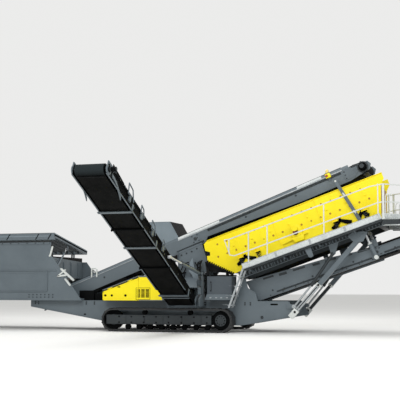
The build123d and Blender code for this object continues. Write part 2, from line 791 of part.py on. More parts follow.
inner_corner = walk_outer - platform_corner
platform_outline = [(platform_start, -walk_outer), (platform_rear - platform_corner, -walk_outer),
                    (platform_rear, -inner_corner), (platform_rear, inner_corner),
                    (platform_rear - platform_corner, walk_outer), (platform_start, walk_outer)]
with BuildPart() as rear_platform:
    with BuildSketch(Plane.XY.offset(platform_floor_z - floor_thickness)) as floor:
        with BuildLine():
            Polyline(*platform_outline, close=True)
        make_face()
    extrude(floor.sketch, amount=floor_thickness)
    with BuildSketch(Plane.XY.offset(platform_floor_z)) as toe:
        with BuildLine():
            Polyline(*platform_outline, close=True)
        make_face()
        with BuildLine():
            inset = 12
            slant = inset * tan(radians(22.5))
            Polyline((platform_start - 1, -walk_outer + inset),
                     (platform_rear - platform_corner - slant, -walk_outer + inset),
                     (platform_rear - inset, -inner_corner + slant),
                     (platform_rear - inset, inner_corner - slant),
                     (platform_rear - platform_corner - slant, walk_outer - inset),
                     (platform_start - 1, walk_outer - inset), close=True)
        make_face(mode=Mode.SUBTRACT)
    extrude(toe.sketch, amount=toe_height)
    for side in mirrored:
        low, high = sorted((side * beam_low_y, side * beam_high_y))
        block(world, beam_end_x, platform_rear - 60, platform_floor_z - floor_thickness - 130,
              platform_floor_z - floor_thickness, low, high)
pieces["rear_platform"] = rear_platform

post_stations = [190, 727, 2320, 3790]
with BuildPart() as handrails:
    for side in mirrored:
        low, high = sorted((side * walk_outer, side * (walk_outer + rail_section)))
        half = rail_section / 2
        for level in (rail_height, mid_rail_height):
            block(walk, -120, walk_length, level - half, level + half, low, high)
        for station in post_stations:
            foot_x = walk.from_local_coords((station, 0, 0)).X
            foot_z = walk_z + (foot_x - walk_x) * tan(radians(walk_angle))
            rise = rail_height / cos(radians(walk_angle))
            block(world, foot_x - half, foot_x + half, foot_z - toe_half, foot_z + rise, low, high)
        front = walk.from_local_coords((-120, 0, 0)).X
        front_z = walk_z + (front - walk_x) * tan(radians(walk_angle))
        top_z, mid_z = [front_z + level / cos(radians(walk_angle)) for level in (rail_height,
                                                                                 mid_rail_height)]
        shift = rail_height * sin(radians(walk_angle))
        block(world, front - shift, front - shift + rail_section, mid_z - half + 40, top_z - shift * 0.33,
              low, high)

    rear_top = platform_floor_z + 870
    corner = rail_section / 2
    rear_line = [(platform_start + 60, -walk_outer - corner),
                 (platform_rear - platform_corner + 8, -walk_outer - corner),
                 (platform_rear + corner, -inner_corner - 8), (platform_rear + corner, inner_corner + 8),
                 (platform_rear - platform_corner + 8, walk_outer + corner),
                 (platform_start + 60, walk_outer + corner)]
    for level in (rear_top, platform_floor_z + 420):
        with BuildSketch(Plane.XY.offset(level - corner)) as rail:
            stroke(rear_line, rail_section)
        extrude(rail.sketch, amount=rail_section)
    with BuildSketch(Plane.XY.offset(platform_floor_z - floor_thickness)) as posts:
        for x, y in rear_line[1:-1] + [(platform_rear + corner, 0)]:
            with Locations((x, y)):
                Rectangle(rail_section, rail_section)
        for side in mirrored:
            with Locations((platform_start + 60, side * (walk_outer + corner))):
                Rectangle(rail_section, rail_section)
    extrude(posts.sketch, amount=rear_top - platform_floor_z + floor_thickness)
pieces["handrails"] = handrails

with BuildPart() as ladder:
    climb = (cos(radians(69.3)), sin(radians(69.3)))
    stile_end = [walk.from_local_coords((0, v, 0)) for v in (-27, -100)]
    reach = (stile_end[1].Z - 666) / climb[1]
    lower = (stile_end[1].X - reach * climb[0], 666)
    for low, high in ((-walk_outer, -walk_outer + 30), (-walk_outer + 350, -walk_outer + 380)):
        slab(world, [(lower[0] - 50, 666), lower, (stile_end[1].X, stile_end[1].Z),
                     (stile_end[0].X, stile_end[0].Z)], low, high)
    for i in range(4):
        step_z = 720 + i * 250
        step_x = lower[0] - 25 + (step_z - 666) * climb[0] / climb[1]
        block(world, step_x - 60, step_x + 60, step_z, step_z + 25, -walk_outer + 30, -walk_outer + 350)
pieces["ladder"] = ladder

# Legs and lift cylinders between the chassis and the subframe
leg_line = Plane(origin=(leg_foot[0], 0, leg_foot[1]), z_dir=(0, -1, 0),
                 x_dir=(leg_head[0] - leg_foot[0], 0, leg_head[1] - leg_foot[1]))
leg_length = hypot(leg_head[0] - leg_foot[0], leg_head[1] - leg_foot[1])
leg_split_at = leg_split * leg_length
with BuildPart() as leg_outer_tubes:
    for side in mirrored:
        low, high = sorted((side * (leg_y - leg_outer / 2), side * (leg_y + leg_outer / 2)))
        block(leg_line, leg_split_at, leg_length, -leg_outer / 2, leg_outer / 2, low, high)
        bore = leg_inner / 2 + 1
        with BuildSketch(leg_line.offset(-side * leg_y - bore)) as hollow:
            with Locations((leg_split_at + 400, 0)):
                Rectangle(800, 2 * bore)
        extrude(hollow.sketch, amount=2 * bore, mode=Mode.SUBTRACT)
        low, high = sorted((side * (leg_y - leg_outer / 2 - 20), side * (leg_y - leg_outer / 2)))
        slab(world, [(5050, beam_bottom(5050)), (5400, beam_bottom(5400)), (5290, 2440), (5200, 2400),
                     (5080, 2420)], low, high)
pieces["leg_outer_tubes"] = leg_outer_tubes

with BuildPart() as leg_inner_tubes:
    for side in mirrored:
        low, high = sorted((side * (leg_y - leg_inner / 2), side * (leg_y + leg_inner / 2)))
        with BuildSketch(leg_line.offset(-high)) as tube:
            with Locations(((leg_split_at + 300) / 2, 0)):
                Rectangle(leg_split_at + 300, leg_inner)
            for i in range(6):
                with Locations((150 + i * 130, 0)):
                    Circle(14, mode=Mode.SUBTRACT)
        extrude(tube.sketch, amount=leg_inner)
        low, high = sorted((side * plate_outer, side * (leg_y - leg_inner / 2)))
        slab(world, [(3380, 470), (3490, 470), (3520, 560), (3440, 620), (3380, 600)], low, high)
pieces["leg_inner_tubes"] = leg_inner_tubes

with BuildPart() as lift_cylinders:
    for side in mirrored:
        y = side * leg_y
        rod((3455, y, 700), (3930, y, 1270), 45)
        rod((3930, y, 1270), (4498, y, 2083), 28)
        inner, outer = side * plate_outer, side * (plate_outer + 30)
        slab(world, [(3250, 640), (3470, 640), (3500, 700), (3470, 760), (3250, 760)],
             *sorted((inner, outer)))
        slab(world, [(4380, beam_bottom(4380)), (4640, beam_bottom(4640)), (4560, 2083), (4498, 2030),
                     (4440, 2083)], *sorted((inner, outer)))
        for x, z, radius in ((3455, 700, 35), (4498, 2083, 25)):
            rounds(world, [(x, z)], radius, *sorted((inner, side * (leg_y + 40))))
pieces["lift_cylinders"] = lift_cylinders

with BuildPart() as conveyor_struts:
    strut_top = screen.to_local_coords(main.from_local_coords((strut_station, -109, 0)))
    for side in mirrored:
        with BuildSketch(screen.offset(-side * (beam_low_y + 5) - 12)) as strut:
            with BuildLine():
                Polyline((strut_top.X - 42, strut_top.Y), (strut_top.X + 42, strut_top.Y),
                         (strut_foot + 48, beam_top), (strut_foot - 48, beam_top), close=True)
            make_face()
            with Locations((strut_top.X, strut_top.Y)):
                Circle(40)
        extrude(strut.sketch, amount=24)
        low, high = sorted((side * main_half, side * (beam_low_y - 7)))
        rounds(screen, [(strut_top.X, strut_top.Y)], 35, low, high)
pieces["conveyor_struts"] = conveyor_struts

# Power pack under the main conveyor
canopy_slope = degrees(atan2(canopy_outline[2][1] - canopy_outline[1][1],
                             canopy_outline[2][0] - canopy_outline[1][0]))
canopy_inner = canopy_half - panel_thickness - panel_gap
with BuildPart() as engine_housing:
    slab(world, canopy_outline, -canopy_inner, canopy_inner)
pieces["engine_housing"] = engine_housing

canopy_edge = slope(*canopy_outline[1], canopy_slope)
edge_length = hypot(canopy_outline[2][0] - canopy_outline[1][0],
                    canopy_outline[2][1] - canopy_outline[1][1])
hinge_start = canopy_edge.from_local_coords((0, -hinge_drop, 0))
hinge_line = slope(hinge_start.X, hinge_start.Z, canopy_slope)
knuckle = 12
door_knuckles = [220, 860]


def canopy_top(x, drop):
    """Height of the canopy's sloping edge, lowered square to itself."""
    slant = radians(canopy_slope)
    return canopy_outline[1][1] + (x - canopy_outline[1][0]) * tan(slant) - drop / cos(slant)


with BuildPart() as canopy_panels:
    slab(world, [(door_edge, chassis_top), (door_edge, canopy_top(door_edge, 0) - 2), canopy_outline[3],
                 canopy_outline[4]], -canopy_half, -canopy_inner)
    slab(world, canopy_outline, canopy_inner, canopy_half)
    block(canopy_edge, 0, edge_length - 10, -12, 0, -canopy_half - 12, -canopy_inner)
    for station in door_knuckles:
        for start in (station - 71, station + 31):
            with BuildSketch(Plane(origin=hinge_line.from_local_coords((start, 0, canopy_half)),
                                   z_dir=hinge_line.x_dir)) as pin:
                Circle(knuckle)
            extrude(pin.sketch, amount=40)
            block(hinge_line, start, start + 40, -6, 6, -canopy_half, -canopy_inner)
pieces["canopy_panels"] = canopy_panels

with BuildPart() as canopy_door:
    low, high = -canopy_half, -canopy_half + panel_thickness
    door_drop = hinge_drop + 20
    left, right = canopy_outline[0][0] + 3, door_edge - panel_gap
    slab(world, [(left, chassis_top + panel_gap), (left, canopy_top(left, door_drop)),
                 (right, canopy_top(right, door_drop)), (right, chassis_top + panel_gap)], low, high)
    for station in door_knuckles:
        with BuildSketch(Plane(origin=hinge_line.from_local_coords((station - 30, 0, canopy_half)),
                               z_dir=hinge_line.x_dir)) as pin:
            Circle(knuckle)
        extrude(pin.sketch, amount=60)
        block(hinge_line, station - 30, station + 30, -24, 0, low - 6, low + 6)
pieces["canopy_door"] = canopy_door

with BuildPart() as hydraulic_tank:
    block(world, 1126, 1810, 1020, 1528, -1200, -700)
    with BuildSketch(Plane.XY.offset(chassis_top)) as base:
        with Locations((1468, -930)):
            Rectangle(560, 380)
    with BuildSketch(Plane.XY.offset(1020)) as rim_sketch:
        with Locations((1468, -950)):
            Rectangle(684, 500)
    loft([base.sketch, rim_sketch.sketch])
pieces["hydraulic_tank"] = hydraulic_tank

# Fines conveyor
tail_inner = 2 * (tail_half - 10)
with BuildPart() as tail_frame:
    for side in mirrored:
        low, high = sorted((side * (tail_half - 10), side * tail_half))
        slab(tail, [(-40, -105), (95, -170), (tail_fold - 5, -170), (tail_fold - 5, 150), (2150, 305),
                    (-126, 440)], low, high)
        slab(tail, [(tail_fold + 5, -95), (tail_length + 150, -95), (tail_length + 150, 150),
                    (tail_fold + 5, 150)], low, high)
        low, high = sorted((side * tail_half, side * (tail_half + 12)))
        rounds(tail, [(tail_fold, 20)], 85, low, high)
    rounds(tail, [(500 + i * (tail_length - 784) / 6, -20) for i in range(7)], 35, -tail_inner / 2,
           tail_inner / 2)
pieces["tail_frame"] = tail_frame

with BuildPart() as tail_belt:
    belt(tail, tail_length, tail_drum_radius, tail_belt_width, belt_thickness)
pieces["tail_belt"] = tail_belt

with BuildPart() as tail_rollers:
    drums(tail, [(0, 0), (tail_length, 0)], tail_drum_radius, tail_belt_width + 10, tail_inner)
    idlers(tail, tail_length, tail_drum_radius, 28, 6, (), tail_inner)
pieces["tail_rollers"] = tail_rollers

with BuildPart() as link_cylinders:
    for side in mirrored:
        y = side * (tail_half + 75)
        rod((5601, y, 1990), (5430, y, 2354), 58)
        rod((5430, y, 2354), (5276, y, 2690), 33)
        rounds(world, [(5601, 1990)], 30, *sorted((side * tail_half, side * (tail_half + 100))))
        rounds(world, [(5276, 2690)], 30, *sorted((side * (tail_half + 20), side * beam_low_y)))
pieces["link_cylinders"] = link_cylinders

# Side conveyor: local x climbs away from the machine, local y is square to the belt
side_slope = radians(side_angle)
side_run = Plane(origin=(0, side_tail_y, side_tail_z), x_dir=(0, -cos(side_slope), sin(side_slope)),
                 z_dir=(-1, 0, 0))
side_left, side_right = side_x - side_half, side_x + side_half
lug = side_run.from_local_coords((lug_station, lug_level, 0))
lug_y, lug_z = lug.Y, lug.Z
side_half_depth = side_depth / 2
with BuildPart() as side_frame:
    for low, high in ((side_left, side_left + side_plate), (side_right - side_plate, side_right)):
        with BuildSketch(side_run.offset(-high)) as profile:
            Circle(side_half_depth)
            with Locations(((side_length + 60) / 2, 0)):
                Rectangle(side_length + 60, side_depth)
            Circle(side_pin_radius + running_gap, mode=Mode.SUBTRACT)
        extrude(profile.sketch, amount=side_plate)
    rounds(side_run, [(500 + i * (side_length - 1000) / 5, 0) for i in range(6)], 30,
           side_left + side_plate, side_right - side_plate)
    rounds(side_run, [(lug_station, lug_level)], 55, side_right, side_right + 12)
    for low, high in ((side_left - 4, side_left), (side_right, side_right + 4)):
        slab(side_run, [(guard_start, 60), (guard_end, 60), (guard_end, 260), (guard_start + 150, 200)],
             low, high)
pieces["side_frame"] = side_frame

side_gap = 2 * (side_half - side_plate)
side_middle = side_run.offset(-side_x)
with BuildPart() as side_belt:
    belt(side_middle, side_length, side_drum_radius, side_belt_width, belt_thickness)
pieces["side_belt"] = side_belt

with BuildPart() as side_rollers:
    drums(side_middle, [(0, 0), (side_length, 0)], side_drum_radius, side_belt_width + 10, side_gap)
    idlers(side_middle, side_length, side_drum_radius, 25, 5, (), side_gap)
    for station in return_stations:
        bracket_x = side_half + 24
        centre = (station, -side_drum_radius - belt_thickness - seat_gap - 25)
        rounds(side_middle, [centre], 25, -bracket_x, bracket_x)
        for side in mirrored:
            low, high = sorted((side * side_half, side * bracket_x))
            block(side_middle, station - 20, station + 20, centre[1] - 30, -40, low, high)
pieces["side_rollers"] = side_rollers

with BuildPart() as side_head_motor:
    rounds(side_run, [(side_length, 0)], 60, side_right, side_right + 60)
    rounds(side_run, [(side_length, 0)], 48, side_right + 60, side_right + 190)
pieces["side_head_motor"] = side_head_motor

# What carries the side conveyor: a pair of arms at its tail and a mast for the ram
mast_pin = (mast_pin_y, mast_pin_z)
arm_outline = [(-plate_outer, 690), (-1430, 690), (-1520, 790), (-1520, 890), (-1430, 950),
               (-plate_outer, chassis_top)]
mast_outline = [(-plate_outer, 690), (-1430, 690), (-1520, 790), (-1520, 890), (-1430, 950), (-1250, 1020),
                (-1240, mast_pin_z), (-1210, mast_pin_z + 60), (-1150, mast_pin_z + 60),
                (-1120, mast_pin_z), (-1000, 1000), (-plate_outer, chassis_top)]
arm_right = side_right + side_arm_gap
ram_half = lift_barrel_radius + 8
with BuildPart() as side_conveyor_mount:
    for x, thickness, outline in ((side_left - side_arm_gap - 20, 20, arm_outline),
                                  (arm_right, 12, mast_outline), (lift_ram_x + ram_half, 12, mast_outline)):
        with BuildSketch(Plane.YZ.offset(x)) as plate:
            with BuildLine():
                Polyline(*outline, close=True)
            make_face()
        extrude(plate.sketch, amount=thickness)
    pivot = (side_tail_y, side_tail_z)
    rod((side_left - side_arm_gap, *pivot), (side_left + side_plate, *pivot), side_pin_radius)
    rod((side_right - side_plate, *pivot), (arm_right, *pivot), side_pin_radius)
    rod((arm_right + 12, *mast_pin), (lift_ram_x + ram_half, *mast_pin), 22)
    block(world, arm_right + 12, lift_ram_x + ram_half, 700, 820, -1300, -1100)
pieces["side_conveyor_mount"] = side_conveyor_mount

lift_length = hypot(lug_y - mast_pin_y, lug_z - mast_pin_z)
lift_along = ((lug_y - mast_pin_y) / lift_length, (lug_z - mast_pin_z) / lift_length)
with BuildPart() as lift_ram_barrel:
    barrel(lift_ram_x, mast_pin, lift_along, lift_barrel_length, lift_barrel_radius, lift_rod_radius + 1,
           22, 70)
pieces["lift_ram_barrel"] = lift_ram_barrel

with BuildPart() as lift_ram_rod:
    rod((lift_ram_x, *along(mast_pin, lift_along, lift_rod_start)), (lift_ram_x, lug_y, lug_z),
        lift_rod_radius)
    rod((side_right + 17, lug_y, lug_z), (lift_ram_x + 30, lug_y, lug_z), 38)
pieces["lift_ram_rod"] = lift_ram_rod

os.makedirs("parts", exist_ok=True)
for name, piece in pieces.items():
    piece.part.label = name
    export_step(piece.part, f"parts/{name}.step")
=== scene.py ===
from math import cos, pi, radians, sin

import bmesh
import bpy
from mathutils import Matrix, Vector


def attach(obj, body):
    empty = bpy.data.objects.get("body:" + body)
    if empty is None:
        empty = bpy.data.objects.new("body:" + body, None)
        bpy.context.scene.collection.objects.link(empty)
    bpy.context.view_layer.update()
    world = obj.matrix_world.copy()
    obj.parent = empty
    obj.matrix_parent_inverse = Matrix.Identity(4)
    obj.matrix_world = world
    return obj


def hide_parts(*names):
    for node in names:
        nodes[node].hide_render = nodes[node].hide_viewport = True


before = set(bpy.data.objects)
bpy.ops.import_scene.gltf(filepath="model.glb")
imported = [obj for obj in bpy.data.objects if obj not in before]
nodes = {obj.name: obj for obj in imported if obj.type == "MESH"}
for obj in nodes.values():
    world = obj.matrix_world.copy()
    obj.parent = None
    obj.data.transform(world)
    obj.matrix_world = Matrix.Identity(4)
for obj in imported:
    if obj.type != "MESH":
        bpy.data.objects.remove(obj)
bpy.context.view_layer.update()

scene = bpy.context.scene
print("frame loaded:", len(nodes), "nodes")

# The place and lens of the camera that took the photo, in metres and degrees
viewSettings = {
    "place": (8.258, -24.891, 1.182),
    "turn": 17.2,
    "pitch": 5.52,
    "lens": 82.2,
    "sensor": 36.0,
    "reach": 200,
}
scene.view_settings.view_transform = "Standard"
cameraData = bpy.data.cameras.new("photoCamera")
cameraData.lens = viewSettings["lens"]
cameraData.sensor_width = viewSettings["sensor"]
cameraData.clip_end = viewSettings["reach"]
camera = bpy.data.objects.new("photoCamera", cameraData)
camera.location = viewSettings["place"]
camera.rotation_euler = (radians(90 + viewSettings["pitch"]), 0, radians(viewSettings["turn"]))
scene.collection.objects.link(camera)
scene.camera = camera
print("camera set")


def linearColour(hexText):
    channels = [int(hexText[i:i + 2], 16) / 255 for i in (1, 3, 5)]
    return tuple(c / 12.92 if c <= 0.04045 else ((c + 0.055) / 1.055) ** 2.4 for c in channels) + (1.0,)


def addNode(tree, kind, settings=None, **links):
    # one node: settings go to its properties, its ramp's stops or its input sockets, links to its input sockets
    node = tree.nodes.new(kind)
    for key, value in (settings or {}).items():
        if key == "stops":
            for element, (position, colour) in zip(node.color_ramp.elements, value):
                element.position = position
                element.color = linearColour(colour)
        elif isinstance(key, str) and hasattr(node, key):
            setattr(node, key, value)
        else:
            node.inputs[key].default_value = value
    for name, source in links.items():
        socket = name[1:] if name[0] == "_" else name.replace("_", " ")
        tree.links.new(source, node.inputs[int(socket) if socket.isdigit() else socket])
    return node


def newMaterial(name):
    material = bpy.data.materials.new(name)
    material.use_nodes = True
    tree = material.node_tree
    place = addNode(tree, "ShaderNodeTexCoord").outputs["Object"]
    return tree, tree.nodes["Principled BSDF"], place


def raiseGrain(tree, shader, place, scale, detail, strength, height):
    # a fine noise in the surface itself, its size 1 m over the scale and its height in metres
    grain = addNode(tree, "ShaderNodeTexNoise", {"Scale": scale, "Detail": detail}, Vector=place)
    bump = addNode(tree, "ShaderNodeBump", {"Strength": strength, "Distance": height},
                   Height=grain.outputs["Fac"])
    tree.links.new(bump.outputs[0], shader.inputs["Normal"])


def paintedSteel(name, base, faded, dust, roughness=0.42, dustLevel=0.62, gloss=0.35):
    # sprayed two-pack enamel on plate: broad fading, a film of stone dust, fine orange peel in the gloss
    tree, shader, place = newMaterial(name)
    # fading in patches of 800 mm
    broad = addNode(tree, "ShaderNodeTexNoise", {"Scale": 1.3, "Detail": 4.0, "Roughness": 0.55}, Vector=place)
    colour = addNode(tree, "ShaderNodeValToRGB", {"stops": ((0.35, base), (0.7, faded))},
                     Fac=broad.outputs["Fac"])
    # dust in upright streaks, 80 mm wide and 600 mm long
    upright = addNode(tree, "ShaderNodeMapping", {"Scale": (5.0, 5.0, 0.7)}, Vector=place)
    streaks = addNode(tree, "ShaderNodeTexNoise", {"Scale": 2.4, "Detail": 6.0, "Roughness": 0.7},
                      Vector=upright.outputs[0])
    mask = addNode(tree, "ShaderNodeMapRange",
                   {"From Min": dustLevel, "From Max": dustLevel + 0.25, "To Max": 0.4},
                   Value=streaks.outputs["Fac"])
    dusty = addNode(tree, "ShaderNodeMix", {"data_type": "RGBA", 7: linearColour(dust)},
                    _0=mask.outputs[0], _6=colour.outputs["Color"])
    tree.links.new(dusty.outputs[2], shader.inputs["Base Color"])
    rough = addNode(tree, "ShaderNodeMapRange", {"To Min": roughness - 0.06, "To Max": roughness + 0.14},
                    Value=streaks.outputs["Fac"])
    tree.links.new(rough.outputs[0], shader.inputs["Roughness"])
    raiseGrain(tree, shader, place, 160.0, 2.0, 0.06, 0.002)     # 6 mm orange peel, as coarse as it shows
    shader.inputs["Coat Weight"].default_value = gloss / 6
    shader.inputs["Specular IOR Level"].default_value = gloss
    shader.inputs["Coat Roughness"].default_value = 0.25


def rolledSteel(name, dark, light, roughness, metallic, grain=22.0):
    # bare or galvanised steel: patches of spangle or scale in tone and gloss
    tree, shader, place = newMaterial(name)
    # spangle of 45 mm, as coarse as it shows, under smears of 330 mm
    spangle = addNode(tree, "ShaderNodeTexVoronoi", {"Scale": grain}, Vector=place)
    smear = addNode(tree, "ShaderNodeTexNoise", {"Scale": 3.0, "Detail": 5.0}, Vector=place)
    blend = addNode(tree, "ShaderNodeMix", {"data_type": "FLOAT", 0: 0.6}, _2=spangle.outputs["Distance"],
                    _3=smear.outputs["Fac"])
    colour = addNode(tree, "ShaderNodeValToRGB", {"stops": ((0.25, dark), (0.75, light))}, Fac=blend.outputs[0])
    tree.links.new(colour.outputs["Color"], shader.inputs["Base Color"])
    rough = addNode(tree, "ShaderNodeMapRange", {"To Min": roughness - 0.1, "To Max": roughness + 0.15},
                    Value=smear.outputs["Fac"])
    tree.links.new(rough.outputs[0], shader.inputs["Roughness"])
    shader.inputs["Metallic"].default_value = metallic
    raiseGrain(tree, shader, place, 90.0, 3.0, 0.15, 0.003)     # 11 mm pits


def vulcanisedRubber(name, dark, dusty, roughness=0.75):
    # carcass rubber: matt black with grey stone dust lying in it
    tree, shader, place = newMaterial(name)
    # dust in patches of 250 mm
    dust = addNode(tree, "ShaderNodeTexNoise", {"Scale": 4.0, "Detail": 8.0, "Roughness": 0.7}, Vector=place)
    ramp = addNode(tree, "ShaderNodeValToRGB", {"stops": ((0.4, dark), (0.8, dusty))}, Fac=dust.outputs["Fac"])
    colour = ramp.outputs["Color"]
    tree.links.new(colour, shader.inputs["Base Color"])
    shader.inputs["Roughness"].default_value = roughness
    shader.inputs["Specular IOR Level"].default_value = 0.05
    raiseGrain(tree, shader, place, 220.0, 2.0, 0.25, 0.002)     # 5 mm grit
    return tree, shader, place, colour


def drumHighlightBelt(name, dark, dusty, drumHighlight, along, tail, headStation):
    # belt rubber, matt black, with a painted highlight: lighter grey where it turns over the head drum and catches
    # the light
    tree, shader, place, colour = vulcanisedRubber(name, dark, dusty)
    station = addNode(tree, "ShaderNodeVectorMath", {"operation": "DOT_PRODUCT", 1: along}, _0=place)
    start = headStation + along.dot(tail)
    drumHighlightMask = addNode(tree, "ShaderNodeMapRange", {"From Min": start - 0.05, "From Max": start + 0.1},
                     Value=station.outputs["Value"])
    mixed = addNode(tree, "ShaderNodeMix", {"data_type": "RGBA", 7: linearColour(drumHighlight)},
                    _0=drumHighlightMask.outputs[0], _6=colour)
    tree.links.new(mixed.outputs[2], shader.inputs["Base Color"])


def plainGloss(name, colour, shade, roughness, metallic=0.0):
    # small moulded or polished pieces, with a slight drift of tone in patches of 80 mm
    tree, shader, place = newMaterial(name)
    drift = addNode(tree, "ShaderNodeTexNoise", {"Scale": 12.0, "Detail": 3.0}, Vector=place)
    tone = addNode(tree, "ShaderNodeValToRGB", {"stops": ((0.35, colour), (0.7, shade))},
                   Fac=drift.outputs["Fac"])
    tree.links.new(tone.outputs["Color"], shader.inputs["Base Color"])
    shader.inputs["Roughness"].default_value = roughness
    shader.inputs["Metallic"].default_value = metallic


# The side conveyor's run, which its belt's finish and its pieces share
sideTurn = radians(24.8)
sideRun = Vector((0, -cos(sideTurn), sin(sideTurn)))
sideTail = Vector((0, -1.45, 0.85))
sideHead = 6.65

# Enamels: the colour, where it has faded, and the dust that lies on it
paintedSteel("greyEnamel", "#5a646a", "#626c72", "#757c80")     # frames: mid grey, half gloss
paintedSteel("mistEnamel", "#707c83", "#7b878e", "#8b9498")     # hood: painted highlight, a lighter copy of the grey for faces that meet the sky; also the grid's painted highlight lines
paintedSteel("slateEnamel", "#454d54", "#4c545a", "#5f666a")     # tank: bluish dark grey
paintedSteel("darkEnamel", "#2a3033", "#32383b", "#464a4c", roughness=0.5)     # undercarriage: nearly black, duller
paintedSteel("yellowEnamel", "#f6e004", "#f8e60c", "#e0cd3c", roughness=0.45, dustLevel=0.7)     # machine yellow
paintedSteel("shadedYellowEnamel", "#a87c1c", "#b58a22", "#8f7430")     # painted shade: a darker copy of the machine yellow, with its dust
paintedSteel("blackEnamel", "#090a0b", "#0e1011", "#1c1e1f", roughness=0.7, gloss=0.04)     # dull chassis black; on the side conveyor's frame, the grid's dark marks, the chassis slots and the vents it is painted shade
paintedSteel("whiteEnamel", "#c3c8c6", "#d2d5d1", "#adaea6", roughness=0.4)     # rails and links: off white
# Steels: hot-dip zinc with its spangle, pressed plate, cast track links and plate that stone has polished
rolledSteel("galvanisedSteel", "#8d9396", "#b4b9bb", 0.42, 0.35)
rolledSteel("palePlate", "#b0b6b6", "#cfd4d3", 0.5, 0.1, grain=30.0)
rolledSteel("castTrackSteel", "#26282a", "#3c3d3d", 0.55, 0.5, grain=30.0)
rolledSteel("wornLinerPlate", "#474542", "#6b6761", 0.5, 0.6, grain=9.0)
plainGloss("chromedRod", "#c9cdd0", "#dcdfe0", 0.3, metallic=0.35)     # hard chrome, bright and even
vulcanisedRubber("beltRubber", "#050606", "#171716")     # belts: matt black
vulcanisedRubber("hoseRubber", "#101112", "#242424", roughness=0.5)     # skirts and pipes: a little smoother
# the side belt: painted highlight on the belt where it turns over the head drum
drumHighlightBelt("drumHighlightRubber", "#050606", "#171716", "#262c2e", sideRun, sideTail, sideHead)
plainGloss("amberPlastic", "#e0c250", "#ecd67a", 0.25)     # the beacon's lens
plainGloss("redPlastic", "#8e1f1a", "#a32a22", 0.35)     # the stop button
plainGloss("darkRedEnamel", "#5a1d16", "#6b2519", 0.45)     # the shaker's motor
print("materials made")

nodeFinish = {
    "greyEnamel": ["chassis_side_plates", "chassis_crossbeams", "hopper_sides", "hopper_end_walls", "feeder_frame",
                   "grid_side_beams", "grid_end_beams", "main_frame", "gantry_plates", "discharge_chute",
                   "subframe_posts", "conveyor_struts", "tail_frame", "side_conveyor_mount", "leg_outer_tubes",
                   "grid_ram_barrels", "lift_ram_barrel", "lift_cylinders", "link_cylinders"],
    "darkEnamel": ["track_frames", "engine_housing", "grid_bars", "subframe", "fines_plates"],
    "slateEnamel": ["hydraulic_tank"],
    "mistEnamel": ["belt_hood"],
    # the screen's end plate gets the shaded yellow: painted shade on a face turned from the lamps
    "shadedYellowEnamel": ["screen_end_plate"],
    "yellowEnamel": ["screen_side_plates", "screen_cross_tubes", "canopy_panels", "canopy_door", "exciter"],
    # side_frame is given the black as painted shade: the side conveyor's frame lies in shadow
    "blackEnamel": ["drive_motors", "side_head_motor", "feeder_drums", "main_rollers", "tail_rollers",
                    "side_rollers", "screen_springs", "track_wheels", "side_frame"],
    "palePlate": ["walkways", "rear_platform"],
    "galvanisedSteel": ["leg_inner_tubes", "ladder"],
    "whiteEnamel": ["handrails"],
    "castTrackSteel": ["track_chains"],
    "wornLinerPlate": ["hopper_chutes", "screen_decks"],
    "chromedRod": ["grid_ram_rods", "lift_ram_rod"],
    "beltRubber": ["feeder_belt", "main_belt", "tail_belt"],
    "drumHighlightRubber": ["side_belt"],
}
for finish, names in nodeFinish.items():
    for name in names:
        nodes[name].data.materials.clear()
        nodes[name].data.materials.append(bpy.data.materials[finish])
print("CAD nodes finished:", sum(len(names) for names in nodeFinish.values()))

studio = {
    "floorColour": "#e9e9e7",
    "floorShade": "#ececea",
    "floorSize": 150,
    "skyColour": "#f1f1f0",
    "skyLight": 0.78,
    "skySeen": 0.95,
}
lamps = {
    "key": {"place": (2, -22, 15), "aim": (1, 0, 2), "size": 9.0, "power": 2100},
    "fill": {"place": (18, -14, 10), "aim": (1, 0, 2), "size": 9.0, "power": 900},
    "top": {"place": (0, 3, 18), "aim": (0, 0, 2), "size": 12.0, "power": 1500},
}

floorMesh = bpy.data.meshes.new("studioFloor")
floorBm = bmesh.new()
bmesh.ops.create_grid(floorBm, x_segments=1, y_segments=1, size=studio["floorSize"])
floorBm.to_mesh(floorMesh)
floorBm.free()
floor = bpy.data.objects.new("studioFloor", floorMesh)
scene.collection.objects.link(floor)
floorTree, floorShader, floorPlace = newMaterial("studioFloor")
floorShader.inputs["Roughness"].default_value = 0.9
floorNoise = addNode(floorTree, "ShaderNodeTexNoise", {"Scale": 0.4}, Vector=floorPlace)
floorStops = ((0.3, studio["floorColour"]), (0.7, studio["floorShade"]))
floorTone = addNode(floorTree, "ShaderNodeValToRGB", {"stops": floorStops}, Fac=floorNoise.outputs["Fac"])
floorTree.links.new(floorTone.outputs["Color"], floorShader.inputs["Base Color"])
floorMesh.materials.append(bpy.data.materials["studioFloor"])

world = bpy.data.worlds.new("studioWorld")
scene.world = world
world.use_nodes = True
worldTree = world.node_tree
background = worldTree.nodes["Background"]
background.inputs["Color"].default_value = linearColour(studio["skyColour"])
rayPath = addNode(worldTree, "ShaderNodeLightPath")
skyStrength = addNode(worldTree, "ShaderNodeMapRange", {"To Min": studio["skyLight"], "To Max": studio["skySeen"]},
                      Value=rayPath.outputs["Is Camera Ray"])
worldTree.links.new(skyStrength.outputs[0], background.inputs["Strength"])

for lampName, lamp in lamps.items():
    light = bpy.data.lights.new(lampName, "AREA")
    light.size = lamp["size"]
    light.energy = lamp["power"]
    lightObject = bpy.data.objects.new(lampName, light)
    lightObject.location = lamp["place"]
    direction = Vector(lamp["aim"]) - Vector(lamp["place"])
    lightObject.rotation_euler = direction.to_track_quat("-Z", "Y").to_euler()
    scene.collection.objects.link(lightObject)
print("studio lit")


